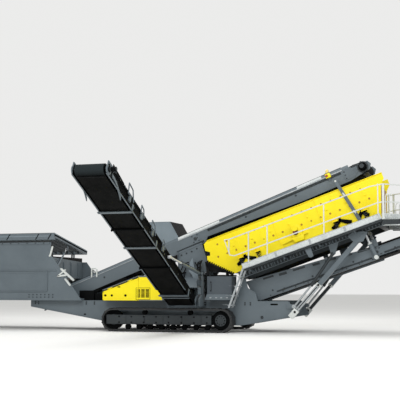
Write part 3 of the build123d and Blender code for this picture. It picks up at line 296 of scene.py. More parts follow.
def slopeFrame(x, z, angle):
    # local axes: up the slope, across the machine (+Y), square to the slope
    a = radians(angle)
    return Matrix(((cos(a), 0, -sin(a), x), (0, 1, 0, 0), (sin(a), 0, cos(a), z), (0, 0, 0, 1)))


# The sloping runs of the machine: where each starts and how steep it is
level = Matrix.Identity(4)
mainRun = slopeFrame(-3.9, 0.801, 21.4)
screenRun = slopeFrame(1.006, 2.49, 19.8)
walkRun = slopeFrame(2.154, 1.77, 19.1)
finesRun = slopeFrame(2.33, 0.986, 18.9)
canopyRun = slopeFrame(-1.924, 1.134, 19.92)
# local axes here: out along the belt, across it (+X), square to it
sideFrame = Matrix(((0, 1, 0, 0), (-cos(sideTurn), 0, sin(sideTurn), sideTail.y),
                    (sin(sideTurn), 0, cos(sideTurn), sideTail.z), (0, 0, 0, 1)))
sides = (-1, 1)


def addBlock(bm, base, centre, size, turn=0.0):
    place = base @ Matrix.Translation(centre) @ Matrix.Rotation(turn, 4, "Y") @ Matrix.Diagonal((*size, 1))
    return bmesh.ops.create_cube(bm, size=1, matrix=place)["verts"]


def addSpan(bm, base, low, high):
    # a block from its lowest corner to its highest
    centre = [(a + b) / 2 for a, b in zip(low, high)]
    addBlock(bm, base, centre, [b - a for a, b in zip(low, high)])


def addBar(bm, base, side, depth, start, end):
    # a block on one side of the machine: depth is how far out its two faces lie, start and end are (along, up)
    low, high = sorted(side * reach for reach in depth)
    addSpan(bm, base, (start[0], low, start[1]), (end[0], high, end[1]))


def addPrism(bm, base, outline, low, high):
    # an outline in the local slope plane (along, up), thickened across the machine
    face = bm.faces.new([bm.verts.new(base @ Vector((u, low, v))) for u, v in outline])
    grown = bmesh.ops.extrude_face_region(bm, geom=[face])
    moved = [item for item in grown["geom"] if isinstance(item, bmesh.types.BMVert)]
    bmesh.ops.translate(bm, verts=moved, vec=base.to_3x3() @ Vector((0, high - low, 0)))


def addSheet(bm, base, side, depth, outline):
    # an outline thickened between two distances out on one side
    addPrism(bm, base, outline, *sorted(side * reach for reach in depth))


def addStrip(bm, base, side, depth, start, end, thick):
    # a slanting flat bar that stands on the line from start to end
    addSheet(bm, base, side, depth, [start, end, (end[0], end[1] + thick), (start[0], start[1] + thick)])


def addRod(bm, start, end, radius, segments=16, endRadius=None):
    start, end = Vector(start), Vector(end)
    axis = end - start
    place = Matrix.Translation((start + end) / 2) @ axis.to_track_quat("Z", "Y").to_matrix().to_4x4()
    bmesh.ops.create_cone(bm, cap_ends=True, segments=segments, radius1=radius,
                          radius2=radius if endRadius is None else endRadius, depth=axis.length, matrix=place)


def addRodOn(bm, base, start, end, radius, segments=16, endRadius=None):
    addRod(bm, base @ Vector(start), base @ Vector(end), radius, segments, endRadius)


def addBoss(bm, base, side, depth, place, radius, segments=20, endRadius=None):
    # a disc or stub that stands out across the machine
    addRodOn(bm, base, (place[0], side * depth[0], place[1]), (place[0], side * depth[1], place[1]), radius,
             segments, endRadius)


def addBolts(bm, base, places, outward, radius, height=0.013):
    # hexagon heads on a thin washer
    away = Vector(outward)
    for place in places:
        foot = Vector(place)
        addRodOn(bm, base, foot, foot + away * 0.004, radius * 1.45, 10)
        addRodOn(bm, base, foot + away * 0.003, foot + away * height, radius, 6)


def addSideBolts(bm, base, side, face, places, radius):
    # bolt heads on a face that lies that far out; places are (along, up)
    addBolts(bm, base, [(u, side * face, v) for u, v in places], (0, side, 0), radius)


def addRing(bm, start, end, outer, inner, segments=24):
    # a sleeve round a barrel, open through its middle: a flat ring, drawn out along the axis
    start, end = Vector(start), Vector(end)
    axis = end - start
    place = Matrix.Translation(start) @ axis.to_track_quat("Z", "Y").to_matrix().to_4x4()
    edges = set()
    for radius in (outer, inner):
        for vert in bmesh.ops.create_circle(bm, segments=segments, radius=radius, matrix=place)["verts"]:
            edges.update(vert.link_edges)
    flat = bmesh.ops.bridge_loops(bm, edges=list(edges))["faces"]
    grown = bmesh.ops.extrude_face_region(bm, geom=flat, use_keep_orig=True)
    moved = [item for item in grown["geom"] if isinstance(item, bmesh.types.BMVert)]
    bmesh.ops.translate(bm, verts=moved, vec=axis)


def addTube(bm, points, radius, segments=12):
    # straight pipes with a ball at each bend
    points = [Vector(point) for point in points]
    for start, end in zip(points, points[1:]):
        addRod(bm, start, end, radius, segments)
    for point in points[1:-1]:
        bmesh.ops.create_uvsphere(bm, u_segments=segments, v_segments=8, radius=radius,
                                  matrix=Matrix.Translation(point))


def row(start, end, count):
    start, end = Vector(start), Vector(end)
    return [start.lerp(end, i / (count - 1)) for i in range(count)]


def around(centre, radius, count):
    return [(centre[0] + radius * cos(2 * pi * i / count), centre[1] + radius * sin(2 * pi * i / count))
            for i in range(count)]


def finishPiece(name, bm, finish, body="machine", bevel=0.0):
    bmesh.ops.recalc_face_normals(bm, faces=bm.faces)
    if bevel:
        sharp = [edge for edge in bm.edges
                 if len(edge.link_faces) == 2 and edge.calc_face_angle() > radians(40)]
        bmesh.ops.bevel(bm, geom=sharp, offset=bevel, segments=2, profile=0.5, affect="EDGES",
                        clamp_overlap=True, material=-1)
    for face in bm.faces:
        face.smooth = True
    mesh = bpy.data.meshes.new(name)
    bm.to_mesh(mesh)
    bm.free()
    mesh.set_sharp_from_angle(angle=radians(38))
    mesh.materials.append(bpy.data.materials[finish])
    piece = bpy.data.objects.new(name, mesh)
    scene.collection.objects.link(piece)
    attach(piece, body)
    return piece


# Crawler tracks: shoes on the chains, cover plates with ribs, hub discs
track = {
    "axle": 1.55,
    "height": 0.65,
    "half": 1.2,
    "pitch": 0.1722,
    "flatShoes": 17,
    "endShoes": 5,
    "shoe": (0.148, 0.396, 0.011),
    "endShoe": (0.011, 0.396, 0.118),
    "grouser": 0.025,
    "firstAngle": -60,
    "angleStep": 30,
}
trackMiddle = track["height"] / 2
shoes = bmesh.new()
for side in sides:
    middle = side * track["half"]
    lift = track["grouser"] - track["shoe"][2] / 2
    for i in range(track["flatShoes"]):
        x = (i - track["flatShoes"] // 2) * track["pitch"]
        for z in (lift, track["height"] - lift):
            addBlock(shoes, level, (x, middle, z), track["shoe"])
    for end in sides:
        hub = Matrix.Translation((end * track["axle"], middle, trackMiddle))
        for i in range(track["endShoes"]):
            angle = radians(track["firstAngle"] + track["angleStep"] * i + (0 if end > 0 else 180))
            place = hub @ Matrix.Rotation(-angle, 4, "Y")
            addBlock(shoes, place, (trackMiddle - track["grouser"] + 0.003, 0, 0), track["endShoe"])
finishPiece("trackShoes", shoes, "castTrackSteel")

covers = {
    "face": 1.34,
    "plate": ((-1.42, 0.235), (1.22, 0.43)),
    "thick": 0.008,
    "ribs": (-1.16, -0.62, -0.08, 0.46, 1.0),
    "ribSpan": (0.215, 0.445),
    "ribHalf": 0.006,
    "ribThick": {-1: 0.008, 1: 0.014},
    "boltRows": (((-1.36, 0.41), (1.16, 0.41), 8), ((-1.36, 0.255), (1.16, 0.255), 8)),
    "hubBolts": (0.115, 10),
    # each disc: which axle, its depth, its radii and its segments
    "discs": ((1, (1.37, 1.374), 0.152, 28, 0.152), (1, (1.37, 1.392), 0.072, 24, 0.062),
              (-1, (1.26, 1.28), 0.15, 28, 0.14)),
}
trackCovers = bmesh.new()
trackBolts = bmesh.new()
for side in sides:
    face = covers["face"]
    outer = face + covers["thick"]
    addBar(trackCovers, level, side, (face, outer), *covers["plate"])
    low, high = covers["ribSpan"]
    for x in covers["ribs"]:
        addBar(trackCovers, level, side, (face, face + covers["ribThick"][side]), (x - covers["ribHalf"], low),
               (x + covers["ribHalf"], high))
    for boltRow in covers["boltRows"]:
        addSideBolts(trackBolts, level, side, outer, row(*boltRow), 0.016)
    places = around((track["axle"], trackMiddle), *covers["hubBolts"])
    addSideBolts(trackBolts, level, side, 1.37, places, 0.013)
    for end, depth, radius, segments, endRadius in covers["discs"]:
        addBoss(trackCovers, level, side, depth, (end * track["axle"], trackMiddle), radius, segments, endRadius)
finishPiece("trackCovers", trackCovers, "darkEnamel")
finishPiece("trackBolts", trackBolts, "blackEnamel")
print("tracks dressed")

# Chassis: folded lower flanges, dark plates in the slots as painted shade, battery boxes
chassis = {
    "face": 0.9,
    "flange": (0.9, 0.92),
    "slants": (((-4.285, 0.664), (-2.09, 0.288)), ((-2.08, 0.287), (-1.5, 0.188)), ((1.99, 0.187), (3.5, 0.447))),
    "midFlange": ((-1.5, 0.183), (1.99, 0.199)),
    "slots": (((2.79, 0.725), (3.01, 0.78)), ((-2.64, 0.42), (-2.54, 0.48))),
    "batteries": (((-2.78, -0.88, 0.84), (-2.33, -0.62, 1.12)), ((-2.3, -0.86, 0.84), (-2.0, -0.6, 1.04)),
                  ((-2.6, 0.55, 0.84), (-2.05, 0.88, 1.1))),
    "bolts": [(x, z) for x in (-4.15, -4.05, -2.55, -2.3, 2.1, 2.25) for z in (0.74, 0.79)],
    "plug": (2.564, 0.405),
    "plugDepth": (0.885, 0.904),
}
flanges = bmesh.new()
slotShadePlates = bmesh.new()
batteries = bmesh.new()
chassisBolts = bmesh.new()
for side in sides:
    for start, end in chassis["slants"]:
        addStrip(flanges, level, side, chassis["flange"], start, end, 0.016)
    addBar(flanges, level, side, chassis["flange"], *chassis["midFlange"])
    for start, end in chassis["slots"]:
        addBar(slotShadePlates, level, side, (chassis["face"] - 0.012, chassis["face"] - 0.008), start, end)
    addSideBolts(chassisBolts, level, side, chassis["face"], chassis["bolts"], 0.016)
    addBoss(chassisBolts, level, side, chassis["plugDepth"], chassis["plug"], 0.04, 20, 0.034)
for low, high in chassis["batteries"]:
    addSpan(batteries, level, low, high)
finishPiece("chassisFlanges", flanges, "greyEnamel")
finishPiece("chassisSlotShade", slotShadePlates, "blackEnamel")
finishPiece("batteryBoxes", batteries, "blackEnamel", bevel=0.012)
finishPiece("chassisBolts", chassisBolts, "darkEnamel")
print("chassis dressed")

# Feed hopper: pressed lines on the sides, ribs on the end walls, rubber flaps over the openings
hopper = {
    "face": 1.112,
    "line": (1.112, 1.132),
    "rims": ((-1, 2.5), (1, 1.98)),
    "rimEdge": (-7.94, -3.62, 0.05),
    "lines": (((-7.28, 0.845), (-4.3, 0.87)), ((-7.442, 1.1), (-7.418, 1.68)), ((-3.692, 1.1), (-3.668, 1.68)),
              ((-7.41, 1.675), (-3.4, 1.695)), ((-7.41, 1.08), (-3.7, 1.1))),
    "boltRows": (((-4.25, 0.93), (-3.5, 0.93), 7), ((-4.25, 1.0), (-3.5, 1.0), 7)),
    "rimBolts": (-7.8, -3.8, 16),
    "farRibs": [((x, 1.66), (x + 0.03, 1.96)) for x in (-7.1, -6.48, -5.86, -5.24, -4.62, -4.0)],
    "endRibs": [((low, y - 0.01, 1.52), (high, y + 0.01, 1.95)) for low, high in ((-7.98, -7.95), (-3.588, -3.558))
                for y in (-0.75, -0.25, 0.25, 0.75)],
    "flaps": [((x, -1.08, 1.93), (x + 0.008, 1.08, 2.1)) for x in (-7.952, -3.606)],
}
stiffeners = bmesh.new()
hopperBolts = bmesh.new()
flaps = bmesh.new()
for side, rim in hopper["rims"]:
    front, rearEnd, rimDepth = hopper["rimEdge"]
    for start, end in (((front, rim - rimDepth), (rearEnd, rim)), *hopper["lines"]):
        addBar(stiffeners, level, side, hopper["line"], start, end)
    for boltRow in hopper["boltRows"]:
        addSideBolts(hopperBolts, level, side, hopper["face"], row(*boltRow), 0.013)
    front, rearEnd, count = hopper["rimBolts"]
    boltHeight = rim - rimDepth / 2
    places = row((front, boltHeight), (rearEnd, boltHeight), count)
    addSideBolts(hopperBolts, level, side, hopper["line"][1], places, 0.012)
for start, end in hopper["farRibs"]:
    addBar(stiffeners, level, 1, (hopper["face"], hopper["face"] + 0.05), start, end)
for low, high in hopper["endRibs"]:
    addSpan(stiffeners, level, low, high)
for low, high in hopper["flaps"]:
    addSpan(flaps, level, low, high)
finishPiece("sealingFlaps", flaps, "hoseRubber")
finishPiece("hopperStiffeners", stiffeners, "greyEnamel")
finishPiece("hopperBolts", hopperBolts, "darkEnamel")

# Tipping grid: wear strips on its rim, painted highlight lines along its beams, dark joint lines and painted shadows
# of the gussets and of the gap at its end; its axes run down the slope to the near side
grid = {
    "tilt": radians(10.5),
    "hinge": (1.168, 2.26),
    # the diagonal dark marks on the near beam are painted shadows of the gussets under the rim
    "gussetShadows": (-7.9, -6.8, -5.85, -4.9, -3.97, -3.58),
    "gussetShadowShape": ((-0.065, -0.12), (-0.035, -0.12), (0.05, 0.04), (0.02, 0.04)),
    # the seams are painted highlights: a light line along the near beam and one on top of the end beam
    "seams": (((2.4, -8.1, -0.04), (2.404, -3.62, -0.012)), ((0.1, -3.44, 0.034), (2.39, -3.434, 0.06))),
    # a painted shadow under the end beam's highlight
    "endShadow": ((0.1, -3.44, -0.008), (2.39, -3.434, 0.03)),
    "liners": (((2.32, -8.1, 0.06), (2.39, -3.45, 0.072)), ((0.16, -8.1, 0.06), (2.3, -8.04, 0.072)),
               ((0.16, -3.51, 0.06), (2.3, -3.45, 0.072))),
    "joints": [((0.16, x - 0.004, 0.04), (2.32, x + 0.004, 0.05)) for x in (-7.45, -6.35, -5.2, -4.1)],
    "gussetShadowDepth": (2.4, 2.406),
}
tilt = grid["tilt"]
gridFrame = Matrix(((0, 1, 0, 0), (-cos(tilt), 0, sin(tilt), grid["hinge"][0]),
                    (sin(tilt), 0, cos(tilt), grid["hinge"][1]), (0, 0, 0, 1)))
# local axes here: along X, out of the near face, up it
gridFace = gridFrame @ Matrix(((0, 1, 0, 0), (1, 0, 0, 0), (0, 0, 1, 0), (0, 0, 0, 1)))
gridLiners = bmesh.new()
gridJointsAndShadows = bmesh.new()
gridHighlights = bmesh.new()
for x in grid["gussetShadows"]:
    addPrism(gridJointsAndShadows, gridFace, [(x + u, v) for u, v in grid["gussetShadowShape"]], *grid["gussetShadowDepth"])
for low, high in (grid["endShadow"], *grid["joints"]):
    addSpan(gridJointsAndShadows, gridFrame, low, high)
for low, high in grid["seams"]:
    addSpan(gridHighlights, gridFrame, low, high)
for low, high in grid["liners"]:
    addSpan(gridLiners, gridFrame, low, high)
finishPiece("gridHighlights", gridHighlights, "mistEnamel", body="tipping_grid")
finishPiece("gridLiners", gridLiners, "wornLinerPlate", body="tipping_grid")
finishPiece("gridJointsAndShadows", gridJointsAndShadows, "blackEnamel", body="tipping_grid")
print("hopper dressed")

# Power pack: folded edges of the canopy, the door's frame and locks, vents, exhaust and intake
canopy = {
    "lip": ((0.0, -1.216, -0.014), (1.14, -1.211, 0.006)),
    "edge": (1.199, 1.206),
    "bars": (((-0.84, 1.488), (-0.392, 1.525)), ((-0.84, 0.84), (-0.118, 0.862))),
    "rearEdge": ((-0.389, 1.525), (-0.112, 0.84), (-0.142, 0.84), (-0.419, 1.525)),
    "cornerFold": ((-0.389, 1.525), (-0.112, 0.84), (-0.104, 0.845), (-0.381, 1.53)),
}
canopyTrim = bmesh.new()
addSpan(canopyTrim, canopyRun, *canopy["lip"])
for start, end in canopy["bars"]:
    addBar(canopyTrim, level, -1, canopy["edge"], start, end)
addSheet(canopyTrim, level, -1, canopy["edge"], canopy["rearEdge"])
for side in sides:
    addSheet(canopyTrim, level, side, (1.17, 1.2), canopy["cornerFold"])
finishPiece("canopyTrim", canopyTrim, "greyEnamel")

door = {
    "frame": (((-1.918, 0.848), (-0.858, 0.848), (-0.858, 0.868), (-1.918, 0.868)),
              ((-1.918, 0.848), (-1.896, 0.848), (-1.896, 1.078), (-1.918, 1.07)),
              ((-0.88, 0.848), (-0.858, 0.848), (-0.858, 1.446), (-0.88, 1.438)),
              ((-1.918, 1.052), (-0.858, 1.436), (-0.858, 1.456), (-1.918, 1.072))),
    "panel": ((-1.86, 0.9), (-1.3, 0.9), (-1.3, 1.22), (-1.86, 1.02)),
    "locks": (-1.84, -1.645, -1.239),
    "lockHeight": 0.985,
    # each lock's disc and barrel: depth, radius and segments
    "lockDiscs": (((1.2, 1.208), 0.032, 20), ((1.208, 1.22), 0.018, 16)),
    "keyOut": 1.221,
    "key": (0.05, 0.006, 0.014),
    "handle": ((-1.475, 1.205), (-1.395, 1.235)),
}
doorTrim = bmesh.new()
doorFittings = bmesh.new()
for outline in door["frame"]:
    addSheet(doorTrim, level, -1, canopy["edge"], outline)
addSheet(doorTrim, level, -1, (1.199, 1.204), door["panel"])
for x in door["locks"]:
    for depth, radius, segments in door["lockDiscs"]:
        addBoss(doorFittings, level, -1, depth, (x, door["lockHeight"]), radius, segments)
    addBlock(doorFittings, level, (x + 0.016, -door["keyOut"], door["lockHeight"]), door["key"])
addBar(doorFittings, level, -1, canopy["edge"], *door["handle"])
finishPiece("doorTrim", doorTrim, "yellowEnamel", body="door")
finishPiece("doorFittings", doorFittings, "blackEnamel", body="door")

vents = {
    "near": [((x, 0.93), (x + 0.1, 1.16)) for x in (-0.9, -0.77, -0.64)],
    "slats": [(x + 0.05, -1.207, 0.965 + i * 0.034) for x in (-0.9, -0.77, -0.64) for i in range(6)],
    "slat": (0.1, 0.006, 0.009),
    "top": [((-1.75 + i * 0.1, 1.24 + i * 0.036), (-1.71 + i * 0.1, 1.247 + i * 0.036)) for i in range(9)],
    "topDepth": (0.9, 1.1),
    "border": (((-0.93, 0.87), (-0.51, 0.878)), ((-0.93, 1.19), (-0.51, 1.198)), ((-0.93, 0.87), (-0.922, 1.198)),
               ((-0.518, 0.87), (-0.51, 1.198))),
}
# the black backs and borders of the vents are painted shade in their openings
ventShade = bmesh.new()
ventSlats = bmesh.new()
for start, end in vents["near"]:
    addBar(ventShade, level, -1, (1.199, 1.2035), start, end)
for centre in vents["slats"]:
    addBlock(ventSlats, level, centre, vents["slat"])
for side in sides:
    for start, end in vents["top"]:
        addBar(ventShade, level, side, vents["topDepth"], start, end)
for start, end in vents["border"]:
    addBar(ventShade, level, -1, (1.199, 1.204), start, end)
finishPiece("ventShade", ventShade, "blackEnamel")
finishPiece("ventSlats", ventSlats, "yellowEnamel")

# each stack: its foot, its top and its radii there
stacks = (((-0.62, 0.55, 1.52), (-0.62, 0.55, 1.66), 0.055, 24, 0.055),
          ((-0.62, 0.55, 1.66), (-0.52, 0.55, 1.72), 0.055, 24, 0.055),
          ((-0.62, -0.35, 1.52), (-0.62, -0.35, 1.6), 0.11, 28, 0.11),
          ((-0.62, -0.35, 1.6), (-0.62, -0.35, 1.625), 0.13, 28, 0.1))
packTop = bmesh.new()
for stack in stacks:
    addRod(packTop, *stack)
finishPiece("exhaustAndIntake", packTop, "blackEnamel")

# Hydraulic tank: filler and breather caps, level glass, lid and a stepped foot
tank = {
    "caps": (((1.3, -1.0, 1.526), (1.3, -1.0, 1.585), 0.052, 24), ((1.3, -1.0, 1.585), (1.3, -1.0, 1.61), 0.062, 12),
             ((1.62, -0.92, 1.526), (1.62, -0.92, 1.62), 0.045, 20),
             ((1.62, -0.92, 1.62), (1.62, -0.92, 1.632), 0.052, 20, 0.04)),
    "glassFrame": ((1.215, -1.216, 1.1), (1.247, -1.2, 1.36)),
    "glass": ((1.225, -1.218, 1.125), (1.237, -1.215, 1.335)),
    "lid": ((1.12, -1.212, 1.505), (1.816, -0.694, 1.54)),
    "foot": ((1.06, 0.868), (1.79, 0.868), (1.815, 1.02), (1.12, 1.02)),
    "latches": [((x, 0.915), (x + 0.05, 0.945)) for x in (1.2, 1.36, 1.5, 1.66)],
    "lidBolts": [((x, -1.16, 1.53), (x, -0.74, 1.53), 5) for x in (1.2, 1.74)],
}
tankFittings = bmesh.new()
tankSeams = bmesh.new()
tankBolts = bmesh.new()
for cap in tank["caps"]:
    addRod(tankFittings, *cap)
addSpan(tankFittings, level, *tank["glassFrame"])
addSpan(tankFittings, level, *tank["lid"])
addSheet(tankSeams, level, -1, (1.2, 1.222), tank["foot"])
addSpan(tankSeams, level, *tank["glass"])
for start, end in tank["latches"]:
    addBar(tankBolts, level, -1, (1.222, 1.232), start, end)
for boltRow in tank["lidBolts"]:
    addBolts(tankBolts, level, row(*boltRow), (0, 0, 1), 0.011)
finishPiece("tankFittings", tankFittings, "blackEnamel", bevel=0.003)
finishPiece("tankSeams", tankSeams, "greyEnamel")
finishPiece("tankBolts", tankBolts, "galvanisedSteel")

# Gantry: edge ribs on its plates, the valve bank, the hose guard and the clipped pipes
gantry = {
    "face": 0.615,
    "frontRib": ((0.15, 0.84), (0.101, 2.19), (0.117, 2.19), (0.166, 0.84)),
    "rearRib": ((0.7, 0.84), (0.813, 1.489), (0.96, 1.671), (0.96, 1.908), (0.944, 1.908), (0.944, 1.678),
                (0.798, 1.495), (0.684, 0.84)),
    "footRib": ((0.15, 0.84), (0.7, 0.858)),
    "bolts": ((0.22, 0.9), (0.42, 0.9), (0.62, 0.9), (0.2, 2.1), (0.35, 2.15), (0.5, 2.2), (0.65, 2.28), (0.3, 1.3),
              (0.55, 1.6)),
}
gantryRibs = bmesh.new()
gantryBolts = bmesh.new()
for side in sides:
    rib = (gantry["face"], gantry["face"] + 0.05)
    addSheet(gantryRibs, level, side, rib, gantry["frontRib"])
    addSheet(gantryRibs, level, side, rib, gantry["rearRib"])
    addBar(gantryRibs, level, side, rib, *gantry["footRib"])
    addSideBolts(gantryBolts, level, side, gantry["face"], gantry["bolts"], 0.018)
finishPiece("gantryRibs", gantryRibs, "greyEnamel")
finishPiece("gantryBolts", gantryBolts, "darkEnamel")

valves = {
    "places": [0.26 + i * 0.062 for i in range(6)],
    "block": ((-0.78, 0.99), (-0.66, 1.15)),
    "width": 0.055,
    "stem": 0.027,
    # the lever and its knob, each by (across, up) of its two ends, its radius and its segments
    "lever": (((-0.74, 1.15), (-0.77, 1.25), 0.007, 8), ((-0.77, 1.25), (-0.772, 1.27), 0.013, 10)),
    "rail": ((0.24, -0.8, 0.965), (0.65, -0.64, 0.99)),
    "legs": (((0.27, -0.74, 0.84), (0.3, -0.66, 0.97)), ((0.59, -0.74, 0.84), (0.62, -0.66, 0.97))),
}
valveBank = bmesh.new()
for x in valves["places"]:
    low, high = valves["block"]
    addSpan(valveBank, level, (x, *low), (x + valves["width"], *high))
    for start, end, radius, segments in valves["lever"]:
        addRod(valveBank, (x + valves["stem"], *start), (x + valves["stem"], *end), radius, segments)
for low, high in (valves["rail"], *valves["legs"]):
    addSpan(valveBank, level, low, high)
finishPiece("valveBank", valveBank, "blackEnamel", bevel=0.003)

# the guard is a waved plate: the points of its front edge, those of its rear edge, and its brackets
guard = {
    "front": ((0.566, 2.024), (0.502, 1.916), (0.453, 1.763), (0.47, 1.64), (0.534, 1.578), (0.6, 1.425),
              (0.567, 1.18), (0.615, 0.936), (0.68, 0.85)),
    "rear": ((0.582, 1.916), (0.615, 1.762), (0.679, 1.67), (0.744, 1.577), (0.776, 1.424), (0.744, 1.272),
             (0.712, 0.997), (0.744, 0.86), (0.68, 0.85)),
    "plate": (0.73, 0.745),
    "brackets": [((x - 0.02, z - 0.02), (x + 0.02, z + 0.02)) for x, z in ((0.53, 1.76), (0.66, 1.42), (0.66, 1.0))],
    "bracketDepth": (0.615, 0.732),
}
hoseGuard = bmesh.new()
for outline in zip(guard["front"], guard["front"][1:], guard["rear"][1:], guard["rear"]):
    addSheet(hoseGuard, level, -1, guard["plate"], outline)
for start, end in guard["brackets"]:
    addBar(hoseGuard, level, -1, guard["bracketDepth"], start, end)
finishPiece("hoseGuard", hoseGuard, "mistEnamel")

# each pipe by its bends: those on the near gantry plate lie in one plane, those on the mount hang from its clips
pipes = {
    "plane": -0.69,
    "gantry": (((0.72, 1.92), (0.7, 1.82), (0.685, 1.7), (0.69, 1.5), (0.64, 1.2)),
               ((0.834, 1.363), (0.86, 1.2), (0.93, 0.997), (0.9, 0.87)),
               ((0.786, 0.9), (0.866, 1.119), (0.93, 1.3), (0.962, 1.485), (0.898, 1.56)),
               ((0.62, 1.9), (0.76, 1.7), (0.8, 1.5), (0.74, 1.3), (0.77, 1.05), (0.82, 0.88)),
               ((0.5, 1.86), (0.36, 1.78), (0.3, 1.6), (0.34, 1.3)),
               ((0.44, 1.9), (0.3, 1.86), (0.22, 1.7), (0.24, 1.3))),
    "clips": ((0.69, 1.55), (0.86, 1.2), (0.93, 1.36), (0.775, 1.42), (0.31, 1.62), (0.23, 1.6), (0.72, 1.88),
              (0.9, 1.52)),
    "clipHalf": (0.03, 0.015),
    "clipDepth": (0.615, 0.71),
    "mount": (((0.8, -0.8, 1.93), (0.86, -0.92, 1.75), (0.83, -0.98, 1.5), (0.86, -0.98, 1.2), (0.82, -0.95, 0.87)),
              ((0.84, -0.75, 1.95), (0.8, -0.9, 1.7), (0.86, -1.0, 1.45), (0.81, -1.0, 1.15), (0.85, -0.95, 0.87)),
              ((0.93, -0.7, 1.9), (1.03, -0.9, 1.7), (1.08, -0.98, 1.4), (1.04, -0.98, 1.1), (1.06, -0.92, 0.87)),
              ((0.97, -0.7, 1.86), (1.08, -0.9, 1.62), (1.13, -0.98, 1.35), (1.1, -0.98, 1.05), (1.12, -0.92, 0.87))),
    "mountClips": [((x0, z), (x1, z + 0.03)) for x0, x1 in ((0.8, 0.885), (0.99, 1.14)) for z in (1.05, 1.38)],
    "mountClipDepth": (0.96, 1.0),
}
bentPipes = bmesh.new()
for route in pipes["gantry"]:
    addTube(bentPipes, [(x, pipes["plane"], z) for x, z in route], 0.016, 10)
for route in pipes["mount"]:
    addTube(bentPipes, route, 0.018, 10)
wide, tall = pipes["clipHalf"]
for x, z in pipes["clips"]:
    addBar(bentPipes, level, -1, pipes["clipDepth"], (x - wide, z - tall), (x + wide, z + tall))
for start, end in pipes["mountClips"]:
    addBar(bentPipes, level, -1, pipes["mountClipDepth"], start, end)
finishPiece("bentPipes", bentPipes, "hoseRubber")
print("power pack dressed")

# Main conveyor: flanges under its webs, pale caps and lip plates that are painted highlights on its top edge, bolts
# and belt skirts
feed = {
    "web": 0.6,
    "flange": (0.6, 0.628),
    "slants": (((-0.19, -0.22), (5.07, -0.22)), ((5.07, -0.22), (5.2, -0.088)), ((5.2, -0.088), (8.06, -0.22)),
               ((8.06, -0.22), (9.4, -0.22))),
    "splice": ((4.72, -0.13), (4.96, 0.12)),
    "headPlate": ((9.3, -0.16), (9.56, -0.16), (9.7, -0.06), (9.7, 0.08), (9.3, 0.11)),
    # the caps and the lip plates are pale strips: painted highlights where the top edge of the web catches the light
    "caps": (((4.35, 0.122), (9.3, 0.15)), ((-0.19, 0.136), (3.0, 0.15))),
    "lipHighlightRuns": ((4.36, 5.65), (8.0, 8.72)),
    "lipLean": 0.571,
    "lipMiddle": (0.5775, 0.185),
    "lipSize": (0.006, 0.078),
    "headBolts": ((9.34, -0.12), (9.34, 0.07), 3),
    "shaftEnd": (4.837, -0.01),
    "spliceBolts": ((4.76, -0.09), (4.92, -0.09), (4.76, 0.08), (4.92, 0.08)),
    "webBolts": [(0.4 + i * 1.5, 0.0) for i in range(7)],
    "skirt": ((0.05, 0.164), (9.3, 0.235)),
}
feedFlanges = bmesh.new()
feedCapHighlights = bmesh.new()
lipHighlights = bmesh.new()
feedBolts = bmesh.new()
feedSkirts = bmesh.new()
for side in sides:
    web = feed["web"]
    for start, end in feed["slants"]:
        addStrip(feedFlanges, mainRun, side, feed["flange"], start, end, 0.014)
    addBar(feedFlanges, mainRun, side, (web, web + 0.012), *feed["splice"])
    addSheet(feedFlanges, mainRun, side, (web, web + 0.014), feed["headPlate"])
    for start, end in feed["caps"]:
        addBar(feedCapHighlights, mainRun, side, (web, web + 0.014), start, end)
    # the lip leans in by 45 mm over its height of 70 mm; the pale plates on it are a painted highlight
    lean = Matrix.Rotation(side * feed["lipLean"], 4, "X")
    for start, end in feed["lipHighlightRuns"]:
        out, up = feed["lipMiddle"]
        place = mainRun @ Matrix.Translation(((start + end) / 2, side * out, up)) @ lean
        addBlock(lipHighlights, place, (0, side * 0.004, 0), (end - start, *feed["lipSize"]))
    addSideBolts(feedBolts, mainRun, side, web + 0.012, feed["spliceBolts"], 0.014)
    addSideBolts(feedBolts, mainRun, side, web + 0.012, row(*feed["headBolts"]), 0.014)
    addBoss(feedBolts, mainRun, side, (web, web + 0.05), feed["shaftEnd"], 0.042)
    addSideBolts(feedBolts, mainRun, side, web, feed["webBolts"], 0.02)
    addBar(feedSkirts, mainRun, side, (0.53, 0.54), *feed["skirt"])
finishPiece("conveyorFlanges", feedFlanges, "greyEnamel")
finishPiece("conveyorCapHighlights", feedCapHighlights, "galvanisedSteel")
finishPiece("lipHighlights", lipHighlights, "palePlate")
finishPiece("conveyorBolts", feedBolts, "darkEnamel")
finishPiece("beltSkirts", feedSkirts, "hoseRubber")

head = {
    "shaft": (9.849, 0),
    "scraper": (((9.78, -0.56, -0.18), (9.92, 0.56, -0.166)), ((9.8, -0.52, -0.2), (9.82, 0.52, -0.16))),
    "nose": ((9.55, 0.1), (9.88, 0.1), (10.0, 0.06), (9.93, 0.13), (9.6, 0.16)),
    # each disc: its side, its depth, its radius and its segments
    "discs": ((-1, (0.6, 0.63), 0.15, 28), (1, (0.6, 0.65), 0.09, 24), (-1, (0.84, 0.86), 0.06, 20)),
    "discBolts": (0.13, 8),
    "ports": (0.6, 1.6),
    "portOut": 0.8,
    "portReach": 0.13,
}
headFittings = bmesh.new()
for low, high in head["scraper"]:
    addSpan(headFittings, mainRun, low, high)
for side, depth, radius, segments in head["discs"]:
    addBoss(headFittings, mainRun, side, depth, head["shaft"], radius, segments)
addSideBolts(headFittings, mainRun, -1, 0.63, around(head["shaft"], *head["discBolts"]), 0.011)
addSheet(headFittings, mainRun, -1, (0.6, 0.615), head["nose"])
for angle in head["ports"]:
    (u, v), y, reach = head["shaft"], -head["portOut"], head["portReach"]
    addRodOn(headFittings, mainRun, (u, y, v), (u - reach * cos(angle), y, v + reach * sin(angle)), 0.02, 12)
finishPiece("headFittings", headFittings, "darkEnamel")

